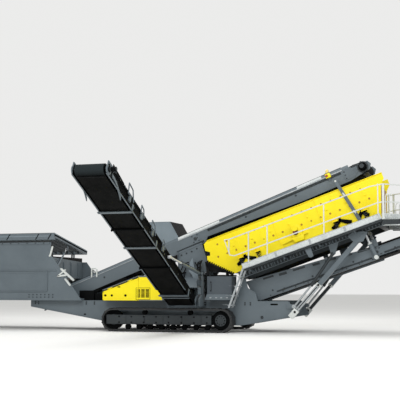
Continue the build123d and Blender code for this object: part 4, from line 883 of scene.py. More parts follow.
beacon = {
    "post": ((8.885, 0.0), (8.945, 0.23)),
    "shelf": ((8.845, -0.74, 0.2), (8.99, -0.6, 0.212)),
    "box": ((8.845, -0.728, 0.075), (8.985, -0.626, 0.2)),
    "button": (8.885, 0.135),
    # the button's neck and head: depth, radius, segments and end radius
    "buttonDiscs": (((0.728, 0.75), 0.024, 20, 0.024), ((0.75, 0.765), 0.036, 20, 0.03)),
    "foot": (8.915, -0.67, 0.212),
    # the lens: the height and the radius at its foot, its shoulder and its top
    "lens": ((0, 0.045), (0.075, 0.04), (0.095, 0.022)),
}
beaconPost = bmesh.new()
addBar(beaconPost, mainRun, -1, (0.6, 0.625), *beacon["post"])
addSpan(beaconPost, mainRun, *beacon["shelf"])
finishPiece("beaconPost", beaconPost, "greyEnamel")
stopBox = bmesh.new()
addSpan(stopBox, mainRun, *beacon["box"])
finishPiece("stopBox", stopBox, "yellowEnamel", bevel=0.006)
stopButton = bmesh.new()
for depth, radius, segments, endRadius in beacon["buttonDiscs"]:
    addBoss(stopButton, mainRun, -1, depth, beacon["button"], radius, segments, endRadius)
finishPiece("stopButton", stopButton, "redPlastic")
beaconLamp = bmesh.new()
foot = mainRun @ Vector(beacon["foot"])
for (low, radius), (high, endRadius) in zip(beacon["lens"], beacon["lens"][1:]):
    addRod(beaconLamp, foot + Vector((0, 0, low)), foot + Vector((0, 0, high)), radius, 24, endRadius)
finishPiece("beaconLamp", beaconLamp, "amberPlastic")

# Hood: folded edges, sealing curtains and the steel pipes clamped to the conveyor's near web
hood = {
    "face": 0.5525,
    "fold": (0.5525, 0.5585),
    "topEdge": ((-1.017, 3.035), (-0.163, 3.05)),
    "slant": ((-0.176, 3.05), (-0.16, 3.05), (0.088, 2.62), (0.072, 2.615)),
    "ribs": (-0.75, -0.42),
    "ribShape": ((-0.012, 3.035), (0.012, 3.035), (0.012, 2.27), (-0.012, 2.26)),
    "bolts": ((3.1, 0.26), (4.25, 0.26), 6),
    "roof": (((-1.02, -0.56, 3.046), (-0.16, -0.53, 3.056)), ((-1.02, 0.53, 3.046), (-0.16, 0.56, 3.056)),
             ((-0.61, -0.53, 3.048), (-0.57, 0.53, 3.058))),
    "curtains": ((3.03, 0.27), (4.3, 0.29)),
    "strips": [-0.385 + i * 0.11 for i in range(8)],
    "stripSize": (0.008, 0.102),
    "stripMiddle": 0.375,
    "rearStrips": [-0.54 + i * 0.12 for i in range(9)],
    "rearWidth": 0.112,
    "rearStrip": ((-0.163, 3.05), (-0.153, 3.054), (0.096, 2.624), (0.086, 2.62)),
}
hoodTrim = bmesh.new()
for side in sides:
    addBar(hoodTrim, level, side, hood["fold"], *hood["topEdge"])
    addSheet(hoodTrim, level, side, hood["fold"], hood["slant"])
    for x in hood["ribs"]:
        addSheet(hoodTrim, level, side, hood["fold"], [(x + u, z) for u, z in hood["ribShape"]])
    addSideBolts(hoodTrim, mainRun, side, hood["face"], row(*hood["bolts"]), 0.011)
for low, high in hood["roof"]:
    addSpan(hoodTrim, level, low, high)
finishPiece("hoodTrim", hoodTrim, "mistEnamel")
curtain = bmesh.new()
for u, drop in hood["curtains"]:
    for y in hood["strips"]:
        addBlock(curtain, mainRun, (u, y, hood["stripMiddle"]), (*hood["stripSize"], drop))
for low in hood["rearStrips"]:
    addPrism(curtain, level, hood["rearStrip"], low, low + hood["rearWidth"])
finishPiece("hoodCurtains", curtain, "hoseRubber")

webPipes = {
    # each run by its two stations, how far out it lies and the heights of its three pipes
    "runs": ((4.2, 5.05, -0.607, (-0.185, -0.163, -0.141)), (5.25, 9.25, -0.609, (0.1, 0.078, 0.056))),
    "radius": 0.008,
    "clamps": [((5.5 + i * 0.7, 0.045), (5.54 + i * 0.7, 0.115)) for i in range(6)],
    "clampDepth": (0.6, 0.622),
}
steelPipes = bmesh.new()
pipeClamps = bmesh.new()
for start, end, y, heights in webPipes["runs"]:
    for v in heights:
        addRodOn(steelPipes, mainRun, (start, y, v), (end, y, v), webPipes["radius"], 8)
for start, end in webPipes["clamps"]:
    addBar(pipeClamps, mainRun, -1, webPipes["clampDepth"], start, end)
finishPiece("steelPipes", steelPipes, "darkEnamel")
finishPiece("pipeClamps", pipeClamps, "darkEnamel")
print("main conveyor dressed")

# Screen box: stiffeners and bolt rows on the side plates, tension pads, exciter covers
box = {
    "face": 0.8,
    "shaft": (2.43, -0.64),
    "topFlange": ((0.0, -0.014), (5.07, 0.0)),
    "lowFlange": ((0.42, -1.118), (4.75, -1.09)),
    "ribs": (0.77, 1.51, 2.84, 3.62, 4.4),
    "ribHalf": 0.05,
    "ribSpan": (-0.76, -0.03),
    "ribBolts": (-0.1, -0.7, 4),
    "brace": ((1.95, -0.86), (2.71, -0.80), (2.66, -0.73), (1.99, -0.79)),
    "lowBolts": ((0.6, -0.93), (4.5, -0.93), 15),
    "deckBolts": (((0.15, -0.53), (4.53, -0.53), 17, 0.02), ((0.24, -0.2), (4.4, -0.2), 16, 0.018)),
    "pads": [0.67 + i * 0.54 for i in range(8)],
    "padHeight": -0.4,
    "padHalf": (0.035, 0.02),
    "shaftBolts": (0.15, 10),
    "cover": (0.91, 0.922),
    "coverFoot": ((2.3, -0.935), (2.56, -0.935), (2.6, -0.8), (2.26, -0.8)),
    "motor": (2.41, -0.68),
    # the motor's barrel and flange: depth and radius
    "motorDiscs": (((0.911, 1.02), 0.055), ((0.911, 0.93), 0.075)),
    "motorBox": ((2.38, -0.99, -0.64), (2.44, -0.94, -0.6)),
}
boxTrim = bmesh.new()
boxBolts = bmesh.new()
deckBolts = bmesh.new()
tensionPads = bmesh.new()
exciterCovers = bmesh.new()
for side in sides:
    face = box["face"]
    addBar(boxTrim, screenRun, side, (face, face + 0.035), *box["topFlange"])
    addBar(boxTrim, screenRun, side, (face, face + 0.01), *box["lowFlange"])
    addSheet(boxTrim, screenRun, side, (face, face + 0.06), box["brace"])
    addSideBolts(boxBolts, screenRun, side, face, row(*box["lowBolts"]), 0.016)
    for u in box["ribs"]:
        low, high = box["ribSpan"]
        half = box["ribHalf"]
        addBar(boxTrim, screenRun, side, (face, face + 0.01), (u - half, low), (u + half, high))
        top, foot, count = box["ribBolts"]
        addSideBolts(boxBolts, screenRun, side, face + 0.01, row((u, top), (u, foot), count), 0.014)
    addSideBolts(boxBolts, screenRun, side, box["cover"][0], around(box["shaft"], *box["shaftBolts"]), 0.014)
    for start, end, count, radius in box["deckBolts"]:
        addSideBolts(deckBolts, screenRun, side, face, row(start, end, count), radius)
    v, (wide, tall) = box["padHeight"], box["padHalf"]
    for u in box["pads"]:
        addBar(tensionPads, screenRun, side, (face, face + 0.016), (u - wide, v - tall), (u + wide, v + tall))
        addBoss(tensionPads, screenRun, side, (face + 0.02, face + 0.045), (u, v), 0.014, 6)
    addBoss(exciterCovers, screenRun, side, box["cover"], box["shaft"], 0.165, 36)
    addSheet(exciterCovers, screenRun, side, (box["cover"][0], 0.92), box["coverFoot"])
finishPiece("boxTrim", boxTrim, "yellowEnamel")
finishPiece("boxBolts", boxBolts, "yellowEnamel")
# the deck bolts take the shaded yellow: painted shade
finishPiece("deckBolts", deckBolts, "shadedYellowEnamel")
finishPiece("tensionPads", tensionPads, "yellowEnamel", bevel=0.003)
finishPiece("exciterCovers", exciterCovers, "yellowEnamel", bevel=0.002)
shakerMotor = bmesh.new()
for depth, radius in box["motorDiscs"]:
    addBoss(shakerMotor, screenRun, -1, depth, box["motor"], radius, 28)
addSpan(shakerMotor, screenRun, *box["motorBox"])
finishPiece("shakerMotor", shakerMotor, "darkRedEnamel")

# Spring seats: brackets with two spread feet, each by its station and its size
seats = {
    "places": ((0.87, 1.0), (3.62, 1.0), (4.22, 0.55)),
    "depth": (0.8, 0.84),
    "spread": 0.24,
}
springSeats = bmesh.new()
for side in sides:
    for u, size in seats["places"]:
        for way in sides:
            foot = u + way * seats["spread"] * size
            addSheet(springSeats, screenRun, side, seats["depth"],
                     [(u - way * 0.03, -0.72), (u + way * 0.05, -0.78), (foot + way * 0.05, -0.9),
                      (foot + way * 0.02, -0.97), (foot - way * 0.1 * size, -0.95), (u - way * 0.02, -0.82)])
finishPiece("springSeats", springSeats, "blackEnamel", bevel=0.003)

# Coil springs between the subframe's beam and the box's seats, in place of the solids' plain cylinders
coil = {
    "places": (0.76, 1.26, 3.5, 4.3),
    "out": 0.89,
    "low": -1.13,
    "length": 0.33,
    "radius": 0.046,
    "wire": 0.0085,
    "turns": 5.5,
    "steps": 14,
    "wireSides": 8,
    "end": 0.028,
    # the pads at both ends and the stop in the foot: heights, radius and segments
    "pads": ((0, 0.02, 0.064, 24), (0.31, 0.33, 0.064, 24), (0.02, 0.06, 0.03, 16)),
}
coilSprings = bmesh.new()
springPads = bmesh.new()
upward = screenRun.to_3x3() @ Vector((0, 0, 1))
coilSteps = int(coil["turns"] * coil["steps"])
for side in sides:
    for u in coil["places"]:
        foot = Vector((u, side * coil["out"], coil["low"]))
        for low, high, radius, segments in coil["pads"]:
            start, end = (foot + Vector((0, 0, height)) for height in (low, high))
            addRodOn(springPads, screenRun, start, end, radius, segments)
        # a circle across the wire, spun up the spring
        start = foot + Vector((coil["radius"], 0, coil["end"]))
        across = screenRun @ Matrix.Translation(start) @ Matrix.Rotation(pi / 2, 4, "X")
        wire = bmesh.ops.create_circle(coilSprings, cap_ends=True,
                                       segments=coil["wireSides"], radius=coil["wire"],
                                       matrix=across)["verts"]
        ring = [face for face in coilSprings.faces if all(vert in wire for vert in face.verts)]
        rise = upward * (coil["length"] - 2 * coil["end"]) / coilSteps
        bmesh.ops.spin(coilSprings, geom=ring, cent=screenRun @ foot, axis=upward, dvec=rise,
                       angle=2 * pi * coil["turns"], steps=coilSteps)
coils = finishPiece("coilSprings", coilSprings, "darkEnamel")
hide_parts("screen_springs")
finishPiece("springPads", springPads, "blackEnamel")

# Top deck: mesh wires on the plate, clamp bars along its sides and middle
deck = {
    "acrossWires": [(-0.12 + i * 0.0615, 0, -0.402) for i in range(80)],
    "acrossWire": (0.006, 1.56, 0.008),
    "alongWires": [(2.32, -0.744 + i * 0.062, -0.404) for i in range(25)],
    "alongWire": (4.9, 0.006, 0.008),
    "sideBar": ((-0.1, -0.4), (4.78, -0.33)),
    "middleBar": ((-0.1, -0.02, -0.402), (4.78, 0.02, -0.385)),
}
screenMesh = bmesh.new()
clampBars = bmesh.new()
for centre in deck["acrossWires"]:
    addBlock(screenMesh, screenRun, centre, deck["acrossWire"])
for centre in deck["alongWires"]:
    addBlock(screenMesh, screenRun, centre, deck["alongWire"])
for side in sides:
    addBar(clampBars, screenRun, side, (0.75, 0.788), *deck["sideBar"])
addSpan(clampBars, screenRun, *deck["middleBar"])
finishPiece("screenMesh", screenMesh, "wornLinerPlate")
finishPiece("clampBars", clampBars, "hoseRubber")

# Toothed rubber strip along the lower front edge of the side plates
skirt = {
    "edge": ((-0.2, -0.53), (0.13, -0.85), (0.41, -1.12)),
    "teeth": 7,
    "width": 0.06,
    "toothLength": 0.035,
    "toothHalf": 0.022,
    "back": ((-0.2, -0.54), (-0.27, -0.8), (0.36, -1.08), (0.38, -1.1), (0.13, -0.86)),
}
toothedSkirt = bmesh.new()
corners = [Vector(point) for point in skirt["edge"]]
for side in sides:
    for start, end in zip(corners, corners[1:]):
        along = (end - start).normalized()
        out = Vector((-along.y, along.x))
        inward = out * -skirt["width"]
        addSheet(toothedSkirt, screenRun, side, (0.8, 0.83), [start, end, end + inward, start + inward])
        for i in range(skirt["teeth"]):
            root = start.lerp(end, (i + 0.5) / skirt["teeth"])
            tip = root + out * skirt["toothLength"]
            half = along * skirt["toothHalf"]
            addSheet(toothedSkirt, screenRun, side, (0.8, 0.83),
                     [root - half, root + half, tip + half * 0.4, tip - half * 0.4])
    addSheet(toothedSkirt, screenRun, side, (0.785, 0.8), skirt["back"])
finishPiece("toothedSkirt", toothedSkirt, "hoseRubber")

# Subframe: flanges, web ribs and bolt pairs on its side beams
subframe = {
    "face": 0.94,
    # each kind of bar: how far it stands out and its two corners
    "bars": [(0.03, (0.58, -1.33), (4.7, -1.314)), (0.03, (0.58, -1.146), (4.7, -1.13))],
    "ribs": [(0.026, (u - 0.006, -1.314), (u + 0.006, -1.146)) for u in (1.0, 1.55, 2.1, 2.65, 3.2, 3.8, 4.6)],
    "slats": [(0.018, (0.66 + i * 0.092, -1.3), (0.69 + i * 0.092, -1.16)) for i in range(43)],
    "bolts": [(u, v) for u in (0.66, 0.72, 1.9, 1.96, 3.0, 3.06, 4.2) for v in (-1.28, -1.18)],
}
subframeFlanges = bmesh.new()
subframeBolts = bmesh.new()
for side in sides:
    face = subframe["face"]
    for reach, start, end in subframe["bars"] + subframe["ribs"] + subframe["slats"]:
        addBar(subframeFlanges, screenRun, side, (face, face + reach), start, end)
    addSideBolts(subframeBolts, screenRun, side, face, subframe["bolts"], 0.015)
finishPiece("subframeFlanges", subframeFlanges, "greyEnamel")
finishPiece("subframeBolts", subframeBolts, "darkEnamel")
print("screen box dressed")

# Walkways: grating strips on the floor, ribs and sleeves under it in dark enamel as painted shade of the grating's
# underside
walk = {
    "width": (0.97, 1.38),
    "strips": [((0.02 + i * 0.05, -0.064), (0.026 + i * 0.05, -0.056)) for i in range(76)],
    "ribs": [((0.06 + i * 0.092, -0.135), (0.078 + i * 0.092, -0.0905)) for i in range(41)],
    # each kind of bar under the floor: its depth and its two corners; the first is a dark sheet under the strips,
    # painted shade seen through the grating
    "floor": [((0.96, 1.38), (0.0, -0.099), (3.85, -0.0915))],
    "sleeves": [((0.941, 1.386), (u - 0.003, -0.1555), (u + 0.063, -0.0935)) for u in (0.12, 1.1, 2.08, 3.06)],
    "runners": [((y - 0.012, y + 0.012), (0.02, -0.145), (3.83, -0.1)) for y in (1.0, 1.18, 1.36)],
    "platformStrips": [((5.86 + i * 0.048, -1.35, 2.962), (5.866 + i * 0.048, 1.35, 2.968)) for i in range(11)],
}
floorGrating = bmesh.new()
gratingRibsInShade = bmesh.new()
for side in sides:
    for start, end in walk["strips"]:
        addBar(floorGrating, walkRun, side, walk["width"], start, end)
    for start, end in walk["ribs"]:
        addBar(gratingRibsInShade, walkRun, side, walk["width"], start, end)
    for depth, start, end in walk["floor"] + walk["sleeves"] + walk["runners"]:
        addBar(gratingRibsInShade, walkRun, side, depth, start, end)
for low, high in walk["platformStrips"]:
    addSpan(floorGrating, level, low, high)
finishPiece("floorGrating", floorGrating, "galvanisedSteel")
finishPiece("gratingRibsInShade", gratingRibsInShade, "darkEnamel")

# Toe boards: rolled edges, splice plates, bolts there and at the posts of the rails
toe = {
    "edge": (1.4, 1.407),
    "rolls": [((0.0, 0.05), (3.85, 0.0625)), ((0.0, -0.0925), (3.85, -0.08))],
    "splices": [((u - 0.03, -0.08), (u + 0.03, 0.05)) for u in (0.96, 1.92, 2.88)],
    "spliceBolts": [(u + step, v) for u in (0.96, 1.92, 2.88) for step in (-0.015, 0.015)
                    for v in (0.02, -0.05)],
    "postFace": 1.419,
    "posts": [(u, v) for u in (0.19, 0.727, 2.32, 3.79) for v in (-0.03, 0.03)],
}
toeTrim = bmesh.new()
walkBolts = bmesh.new()
for side in sides:
    for start, end in toe["rolls"] + toe["splices"]:
        addBar(toeTrim, walkRun, side, toe["edge"], start, end)
    addSideBolts(walkBolts, walkRun, side, toe["edge"][1], toe["spliceBolts"], 0.009)
    addSideBolts(walkBolts, walkRun, side, toe["postFace"], toe["posts"], 0.009)
finishPiece("toeTrim", toeTrim, "galvanisedSteel")
finishPiece("walkBolts", walkBolts, "galvanisedSteel")

brackets = {
    "plates": [((u - 0.005, -0.21), (u + 0.007, -0.15)) for u in (0.15, 1.13, 2.11, 3.09)],
    "reach": (0.94, 1.37),
    "eye": (1.80, -0.33),
    "eyeTop": [(1.70, -0.15), (1.87, -0.15)],
    "eyeRadius": 0.07,
    "eyeArc": (0.3, -0.3, -0.9, -1.57, -2.2, -2.8, -3.4),
    "eyeDepth": (1.27, 1.29),
    "shaft": (0.94, 1.31),
}
walkBrackets = bmesh.new()
(eyeU, eyeV), reach = brackets["eye"], brackets["eyeRadius"]
eyePlate = brackets["eyeTop"] + [(eyeU + reach * cos(angle), eyeV + reach * sin(angle))
                                 for angle in brackets["eyeArc"]]
for side in sides:
    for start, end in brackets["plates"]:
        addBar(walkBrackets, walkRun, side, brackets["reach"], start, end)
    addSheet(walkBrackets, walkRun, side, brackets["eyeDepth"], eyePlate)
    addBoss(walkBrackets, walkRun, side, brackets["shaft"], brackets["eye"], 0.028)
finishPiece("walkBrackets", walkBrackets, "greyEnamel")

# Rail ends: platform posts with a hooked top, the walkway's end hoop and the short links between them
rails = {
    "out": 1.414,
    "hooks": (5.93, 6.03),
    "hookBends": ((0, 2.98), (0, 3.5), (0.015, 3.56), (0.05, 3.58)),
    "endHoop": (-0.1, 0.32, 0.79),
    "hoopReach": 0.13,
    "hoopDrop": 0.02,
    "links": (((5.534, 3.773), (5.885, 3.83)), ((5.686, 3.337), (5.885, 3.38))),
}
railHoops = bmesh.new()
for side in sides:
    y = side * rails["out"]
    for x in rails["hooks"]:
        addTube(railHoops, [(x + u, y, z) for u, z in rails["hookBends"]], 0.011)
    u, low, high = rails["endHoop"]
    foot, top = walkRun @ Vector((u, y, low)), walkRun @ Vector((u, y, high))
    back, drop = Vector((-rails["hoopReach"], 0, 0)), Vector((0, 0, rails["hoopDrop"]))
    addTube(railHoops, [foot, foot + back + drop, top + back - drop, top], 0.013)
    for (x0, z0), (x1, z1) in rails["links"]:
        addTube(railHoops, [(x0, y, z0), (x1, y, z1)], 0.015)
finishPiece("railHoops", railHoops, "whiteEnamel")

# Platform: a dark back plate and ribs under its floor strips, painted shade of its underside
platform = {
    "back": ((5.84, 2.8), (6.35, 2.926)),
    "backDepth": (1.37, 1.38),
    "ribs": [((5.85 + i * 0.056, 2.8), (5.87 + i * 0.056, 2.926)) for i in range(9)],
    "ribDepth": (1.385, 1.398),
}
platformRibsInShade = bmesh.new()
for side in sides:
    addBar(platformRibsInShade, level, side, platform["backDepth"], *platform["back"])
    for start, end in platform["ribs"]:
        addBar(platformRibsInShade, level, side, platform["ribDepth"], start, end)
finishPiece("platformRibsInShade", platformRibsInShade, "darkEnamel")

ladder = {
    "foot": (1.63, 0.666),
    "lean": 0.3779,
    "treads": (0.72, 0.97, 1.22, 1.47),
    "bars": [(-1.36 + i * 0.036, -1.352 + i * 0.036) for i in range(9)],
    "halfDepth": 0.058,
    "top": (0.024, 0.027),
}
ladderTreads = bmesh.new()
for z in ladder["treads"]:
    x = ladder["foot"][0] + (z - ladder["foot"][1]) * ladder["lean"]
    half, (low, high) = ladder["halfDepth"], ladder["top"]
    for near, far in ladder["bars"]:
        addSpan(ladderTreads, level, (x - half, near, z + low), (x + half, far, z + high))
finishPiece("ladderTreads", ladderTreads, "galvanisedSteel")

# Telescopic legs: collars, pins, side seams, dark plates on the inner faces as painted shade, and the plates at their
# heads
legs = {
    "start": (3.456, 0.523),
    "end": (5.218, 2.497),
    "out": 0.975,
    "collar": ((0.965, -0.072), (1.03, 0.072)),
    "collarDepth": (0.903, 1.047),
    "cheeks": (0.06, -0.045),
    "pins": (0.05, 0.998),
    "pinHalf": 0.095,
    "pinHead": (1.07, 1.085),
    # a seam on each face of the tube: how far it lies from the middle, and its thickness
    "seams": (-0.046, 0.0445),
    # a dark plate on the inner face of each leg: painted shade
    "face": ((-0.1, -0.044), (0.96, 0.044)),
    "shadeFaceDepth": (0.924, 0.93),
    "headDepth": (1.035, 1.049),
    "headPlate": ((4.9, 2.52), (5.08, 2.36), (5.3, 2.39), (5.42, 2.62), (5.3, 2.66), (5.0, 2.62)),
    "headBolts": ((5.0, 2.54), (5.1, 2.44), (5.3, 2.58), (5.2, 2.5)),
}
(startX, startZ), (endX, endZ) = legs["start"], legs["end"]
legAlong = Vector((endX - startX, endZ - startZ)).normalized()
legRun = Matrix(((legAlong.x, 0, -legAlong.y, startX), (0, 1, 0, 0), (legAlong.y, 0, legAlong.x, startZ),
                 (0, 0, 0, 1)))
legCollars = bmesh.new()
legPins = bmesh.new()
legShadeFaces = bmesh.new()
headPlates = bmesh.new()
for side in sides:
    y = side * legs["out"]
    addBar(legCollars, legRun, side, legs["collarDepth"], *legs["collar"])
    for reach in legs["cheeks"]:
        near = y - 0.03 + side * reach
        addSpan(legCollars, legRun, (-0.14, near, -0.075), (0.12, near + 0.012, 0.075))
    for u in legs["pins"]:
        addRodOn(legPins, legRun, (u, y - legs["pinHalf"], 0), (u, y + legs["pinHalf"], 0), 0.02)
        addBoss(legPins, legRun, side, legs["pinHead"], (u, 0), 0.03, 16)
    for reach in legs["seams"]:
        addSpan(legPins, legRun, (0.18, y + reach, -0.012), (0.92, y + reach + 0.002, 0.012))
    addBar(legShadeFaces, legRun, side, legs["shadeFaceDepth"], *legs["face"])
    addSheet(headPlates, level, side, legs["headDepth"], legs["headPlate"])
    addSideBolts(headPlates, level, side, legs["headDepth"][1], legs["headBolts"], 0.016)
finishPiece("legCollars", legCollars, "whiteEnamel", bevel=0.003)
finishPiece("legPins", legPins, "blackEnamel")
finishPiece("legShadeFaces", legShadeFaces, "darkEnamel")
finishPiece("legHeadPlates", headPlates, "greyEnamel")

# Lift cylinders between the lugs: a pale rod below and a dark barrel above
lift = {
    "eye": (3.455, 0.7),
    "gland": (3.93, 1.27),
    "head": (4.498, 2.083),
    "rod": 0.026,
    "eyeRadius": 0.052,
    "eyeHalf": 0.045,
    "barrel": 0.042,
    "collar": 0.047,
    "port": (0.035, 0.02),
    "portEnd": (0.065, 0.03),
}
liftRods = bmesh.new()
liftBarrels = bmesh.new()
cylinderCollars = bmesh.new()
for side in sides:
    eye, gland, top = (Vector((x, side * legs["out"], z)) for x, z in (lift["eye"], lift["gland"], lift["head"]))
    away = (gland - eye).normalized()
    port = gland + away * 0.1
    addRod(liftRods, eye, gland, lift["rod"], 20)
    across = Vector((0, lift["eyeHalf"], 0))
    addRod(liftRods, eye - across, eye + across, lift["eyeRadius"], 24)
    addRod(liftBarrels, gland, top, lift["barrel"], 24)
    addRod(cylinderCollars, gland - away * 0.03, gland + away * 0.03, lift["collar"], 24)
    addRod(cylinderCollars, top - away * 0.06, top + away * 0.02, lift["collar"], 24)
    start, end = (port + Vector((0, side * out, up)) for out, up in (lift["port"], lift["portEnd"]))
    addRod(cylinderCollars, start, end, 0.014, 12)
finishPiece("liftRods", liftRods, "galvanisedSteel")
finishPiece("liftBarrels", liftBarrels, "darkEnamel")
finishPiece("cylinderCollars", cylinderCollars, "darkEnamel")

# Clamps on the struts that hold the main conveyor, at two shares of the strut's length
strut = {
    "top": (4.575, 4.005),
    "drop": (0.706, -1.177),
    "shares": (0.3, 0.7),
    "clamp": ((-0.045, 0.01), (-0.02, 0.055), (0.045, -0.01), (0.02, -0.055)),
    "clampDepth": (0.828, 0.872),
    "pin": (0.82, 0.885),
}
strutClamps = bmesh.new()
for side in sides:
    for share in strut["shares"]:
        x, z = (start + share * run for start, run in zip(strut["top"], strut["drop"]))
        addSheet(strutClamps, level, side, strut["clampDepth"], [(x + u, z + v) for u, v in strut["clamp"]])
    addBoss(strutClamps, level, side, strut["pin"], strut["top"], 0.026, 18)
finishPiece("strutClamps", strutClamps, "whiteEnamel", bevel=0.003)
print("walkways and legs dressed")

# Side conveyor: flanges and plates on its two webs, each web with its side and how far out it lies
slim = {
    "webs": ((-1, -0.11), (1, 0.87)),
    "drum": (6.65, 0),
    "flanges": (((0.95, 0.108), (6.7, 0.12)), ((0.95, -0.12), (6.7, -0.108))),
    "stiffeners": [((u - 0.02, -0.108), (u + 0.02, 0.108)) for u in (1.1, 2.2, 3.3, 4.4, 5.5)],
    "headPlate": [((6.35, -0.1), (6.69, 0.1))],
    "edge": ((0.95, -0.128), (6.7, -0.12)),
    "boards": [((1.3, x, 0.12), (6.4, x + 0.016, 0.19)) for x in (0.112, 0.852)],
    "webBolts": (0.5, 1.63, 2.76, 3.89, 5.02, 6.15),
    "headBolts": [(u, v) for u in (6.4, 6.52, 6.64) for v in (-0.075, 0.075)],
    "skirts": [((0.3, x, 0.13), (6.35, x + 0.02, 0.185)) for x in (0.185, 0.775)],
    "scraper": [((6.6, 0.18, -0.16), (6.612, 0.8, -0.128))],
    "crossBars": [((u - 0.035, 0.06, -0.158), (u + 0.035, 0.89, -0.138)) for u in (0.64, 3.38, 5.1)],
    "barEnds": [((u - 0.035, -0.158), (u + 0.035, 0.04)) for u in (0.64, 3.38, 5.1)],
    "tieRod": ((0.5, 0.11, -0.15), (0.5, 0.87, -0.15)),
}
shadedSlimFlanges = bmesh.new()
slimEdges = bmesh.new()
shadedSlimBoards = bmesh.new()
slimBolts = bmesh.new()
slimSkirts = bmesh.new()
underBars = bmesh.new()
for side, web in slim["webs"]:
    for start, end in slim["flanges"]:
        addBar(shadedSlimFlanges, sideFrame, side, (web, web + 0.022), start, end)
    for start, end in slim["stiffeners"] + slim["headPlate"]:
        addBar(shadedSlimFlanges, sideFrame, side, (web, web + 0.007), start, end)
    addBar(slimEdges, sideFrame, side, (web, web + 0.026), *slim["edge"])
    for u in slim["webBolts"]:
        addBoss(slimBolts, sideFrame, side, (web, web + 0.012), (u, 0), 0.026, 6)
    for place in slim["headBolts"]:
        addBoss(slimBolts, sideFrame, side, (web + 0.007, web + 0.018), place, 0.014, 6)
    addBoss(slimBolts, sideFrame, side, (web, web + 0.03), slim["drum"], 0.07, 24)
    for start, end in slim["barEnds"]:
        addBar(underBars, sideFrame, side, (web, web + 0.014), start, end)
addRodOn(underBars, sideFrame, *slim["tieRod"], 0.014, 12)
for low, high in slim["crossBars"]:
    addSpan(underBars, sideFrame, low, high)
for low, high in slim["boards"]:
    addSpan(shadedSlimBoards, sideFrame, low, high)
for low, high in slim["skirts"] + slim["scraper"]:
    addSpan(slimSkirts, sideFrame, low, high)
# the black of the flanges and boards, as of side_frame, is painted shade: the side conveyor's frame lies in shadow
finishPiece("shadedSlimFlanges", shadedSlimFlanges, "blackEnamel", body="side_conveyor")
finishPiece("slimEdges", slimEdges, "greyEnamel", body="side_conveyor")
finishPiece("shadedSlimBoards", shadedSlimBoards, "blackEnamel", body="side_conveyor")
finishPiece("slimBolts", slimBolts, "darkEnamel", body="side_conveyor")
finishPiece("slimSkirts", slimSkirts, "hoseRubber", body="side_conveyor")
finishPiece("underBars", underBars, "greyEnamel", body="side_conveyor")

# Wing guards: bent bars over the rollers, each pair by its station, half length and height
wings = {
    "stations": ((5.35, 0.2, 0.3), (4.55, 0.12, 0.24), (3.75, 0.16, 0.27), (2.95, 0.1, 0.22)),
    "loops": (0.9, 0.08),
    "plates": (0.885, 0.095),
}
wingGuards = bmesh.new()
for u, reach, high in wings["stations"]:
    for x in wings["loops"]:
        loop = [(u - reach, x, 0.06), (u - reach * 0.3, x, high), (u + reach, x, high + 0.03),
                (u + reach * 0.8, x, 0.1), (u - reach * 0.2, x, 0.12)]
        addTube(wingGuards, [sideFrame @ Vector(point) for point in loop], 0.014, 10)
    for x in wings["plates"]:
        addSpan(wingGuards, sideFrame, (u - 0.05, x - 0.015, -0.02), (u + 0.05, x + 0.015, 0.12))
finishPiece("wingGuards", wingGuards, "greyEnamel", body="side_conveyor")

trough = {
    "brackets": [((0.67 + i * 0.85, x - 0.01, 0.03), (0.73 + i * 0.85, x + 0.01, 0.118)) for i in range(7)
                 for x in (0.155, 0.815)],
    "adjusters": [((6.55, x, 0.0), (6.7, x, 0.0)) for x in (0.13, 0.84)],
}
troughBrackets = bmesh.new()
for low, high in trough["brackets"]:
    addSpan(troughBrackets, sideFrame, low, high)
for start, end in trough["adjusters"]:
    addRodOn(troughBrackets, sideFrame, start, end, 0.018, 12)
finishPiece("troughBrackets", troughBrackets, "darkEnamel", body="side_conveyor")

headMotor = {
    # each disc: its depth, radius and segments
    "discs": (((0.932, 0.945), 0.058, 24), ((1.058, 1.066), 0.04, 20)),
    "bolts": [(6.65 + 0.05 * cos(angle), 0.05 * sin(angle)) for angle in (0.5, 2.0, 3.6, 5.1)],
    "boltDepth": (0.93, 0.946),
    "ports": [((6.65, x, 0), (6.59, x, -0.045)) for x in (1.0, 1.04)],
}
motorFittings = bmesh.new()
for depth, radius, segments in headMotor["discs"]:
    addBoss(motorFittings, sideFrame, 1, depth, slim["drum"], radius, segments)
for place in headMotor["bolts"]:
    addBoss(motorFittings, sideFrame, 1, headMotor["boltDepth"], place, 0.009, 6)
for start, end in headMotor["ports"]:
    addRodOn(motorFittings, sideFrame, start, end, 0.012, 10)
finishPiece("headMotorFittings", motorFittings, "darkEnamel", body="side_conveyor")

# Head guards: a curved plate in four flats below the head drum on each side, a disc and a block over it
headGuard = {
    "faces": (0.085, 0.874),
    "flats": 4,
    "top": (6.45, 0.02),
    "run": 0.62,
    "sag": 0.2,
    "width": (-0.03, -0.07),
    "disc": 0.12,
    "block": ((6.5, 0.06), (6.74, 0.165)),
    "ribs": [((u, x - 0.002, 0.11), (u + 0.012, x + 0.006, 0.2)) for x in (0.106, 0.87)
             for u in (5.65, 5.95, 6.25)],
}
headGuards = bmesh.new()
guardRibs = bmesh.new()
shares = [i / headGuard["flats"] for i in range(headGuard["flats"] + 1)]
topU, topV = headGuard["top"]
arc = [(topU - headGuard["run"] * t, topV - headGuard["sag"] * t * t) for t in shares]
for x in headGuard["faces"]:
    back, drop = headGuard["width"]
    for (u0, v0), (u1, v1) in zip(arc, arc[1:]):
        flat = [(u0, v0), (u1, v1), (u1 + back, v1 + drop), (u0 + back, v0 + drop)]
        addPrism(headGuards, sideFrame, flat, x, x + 0.02)
    addBoss(headGuards, sideFrame, 1, (x, x + 0.024), slim["drum"], headGuard["disc"], 28)
    addBar(headGuards, sideFrame, 1, (x, x + 0.024), *headGuard["block"])
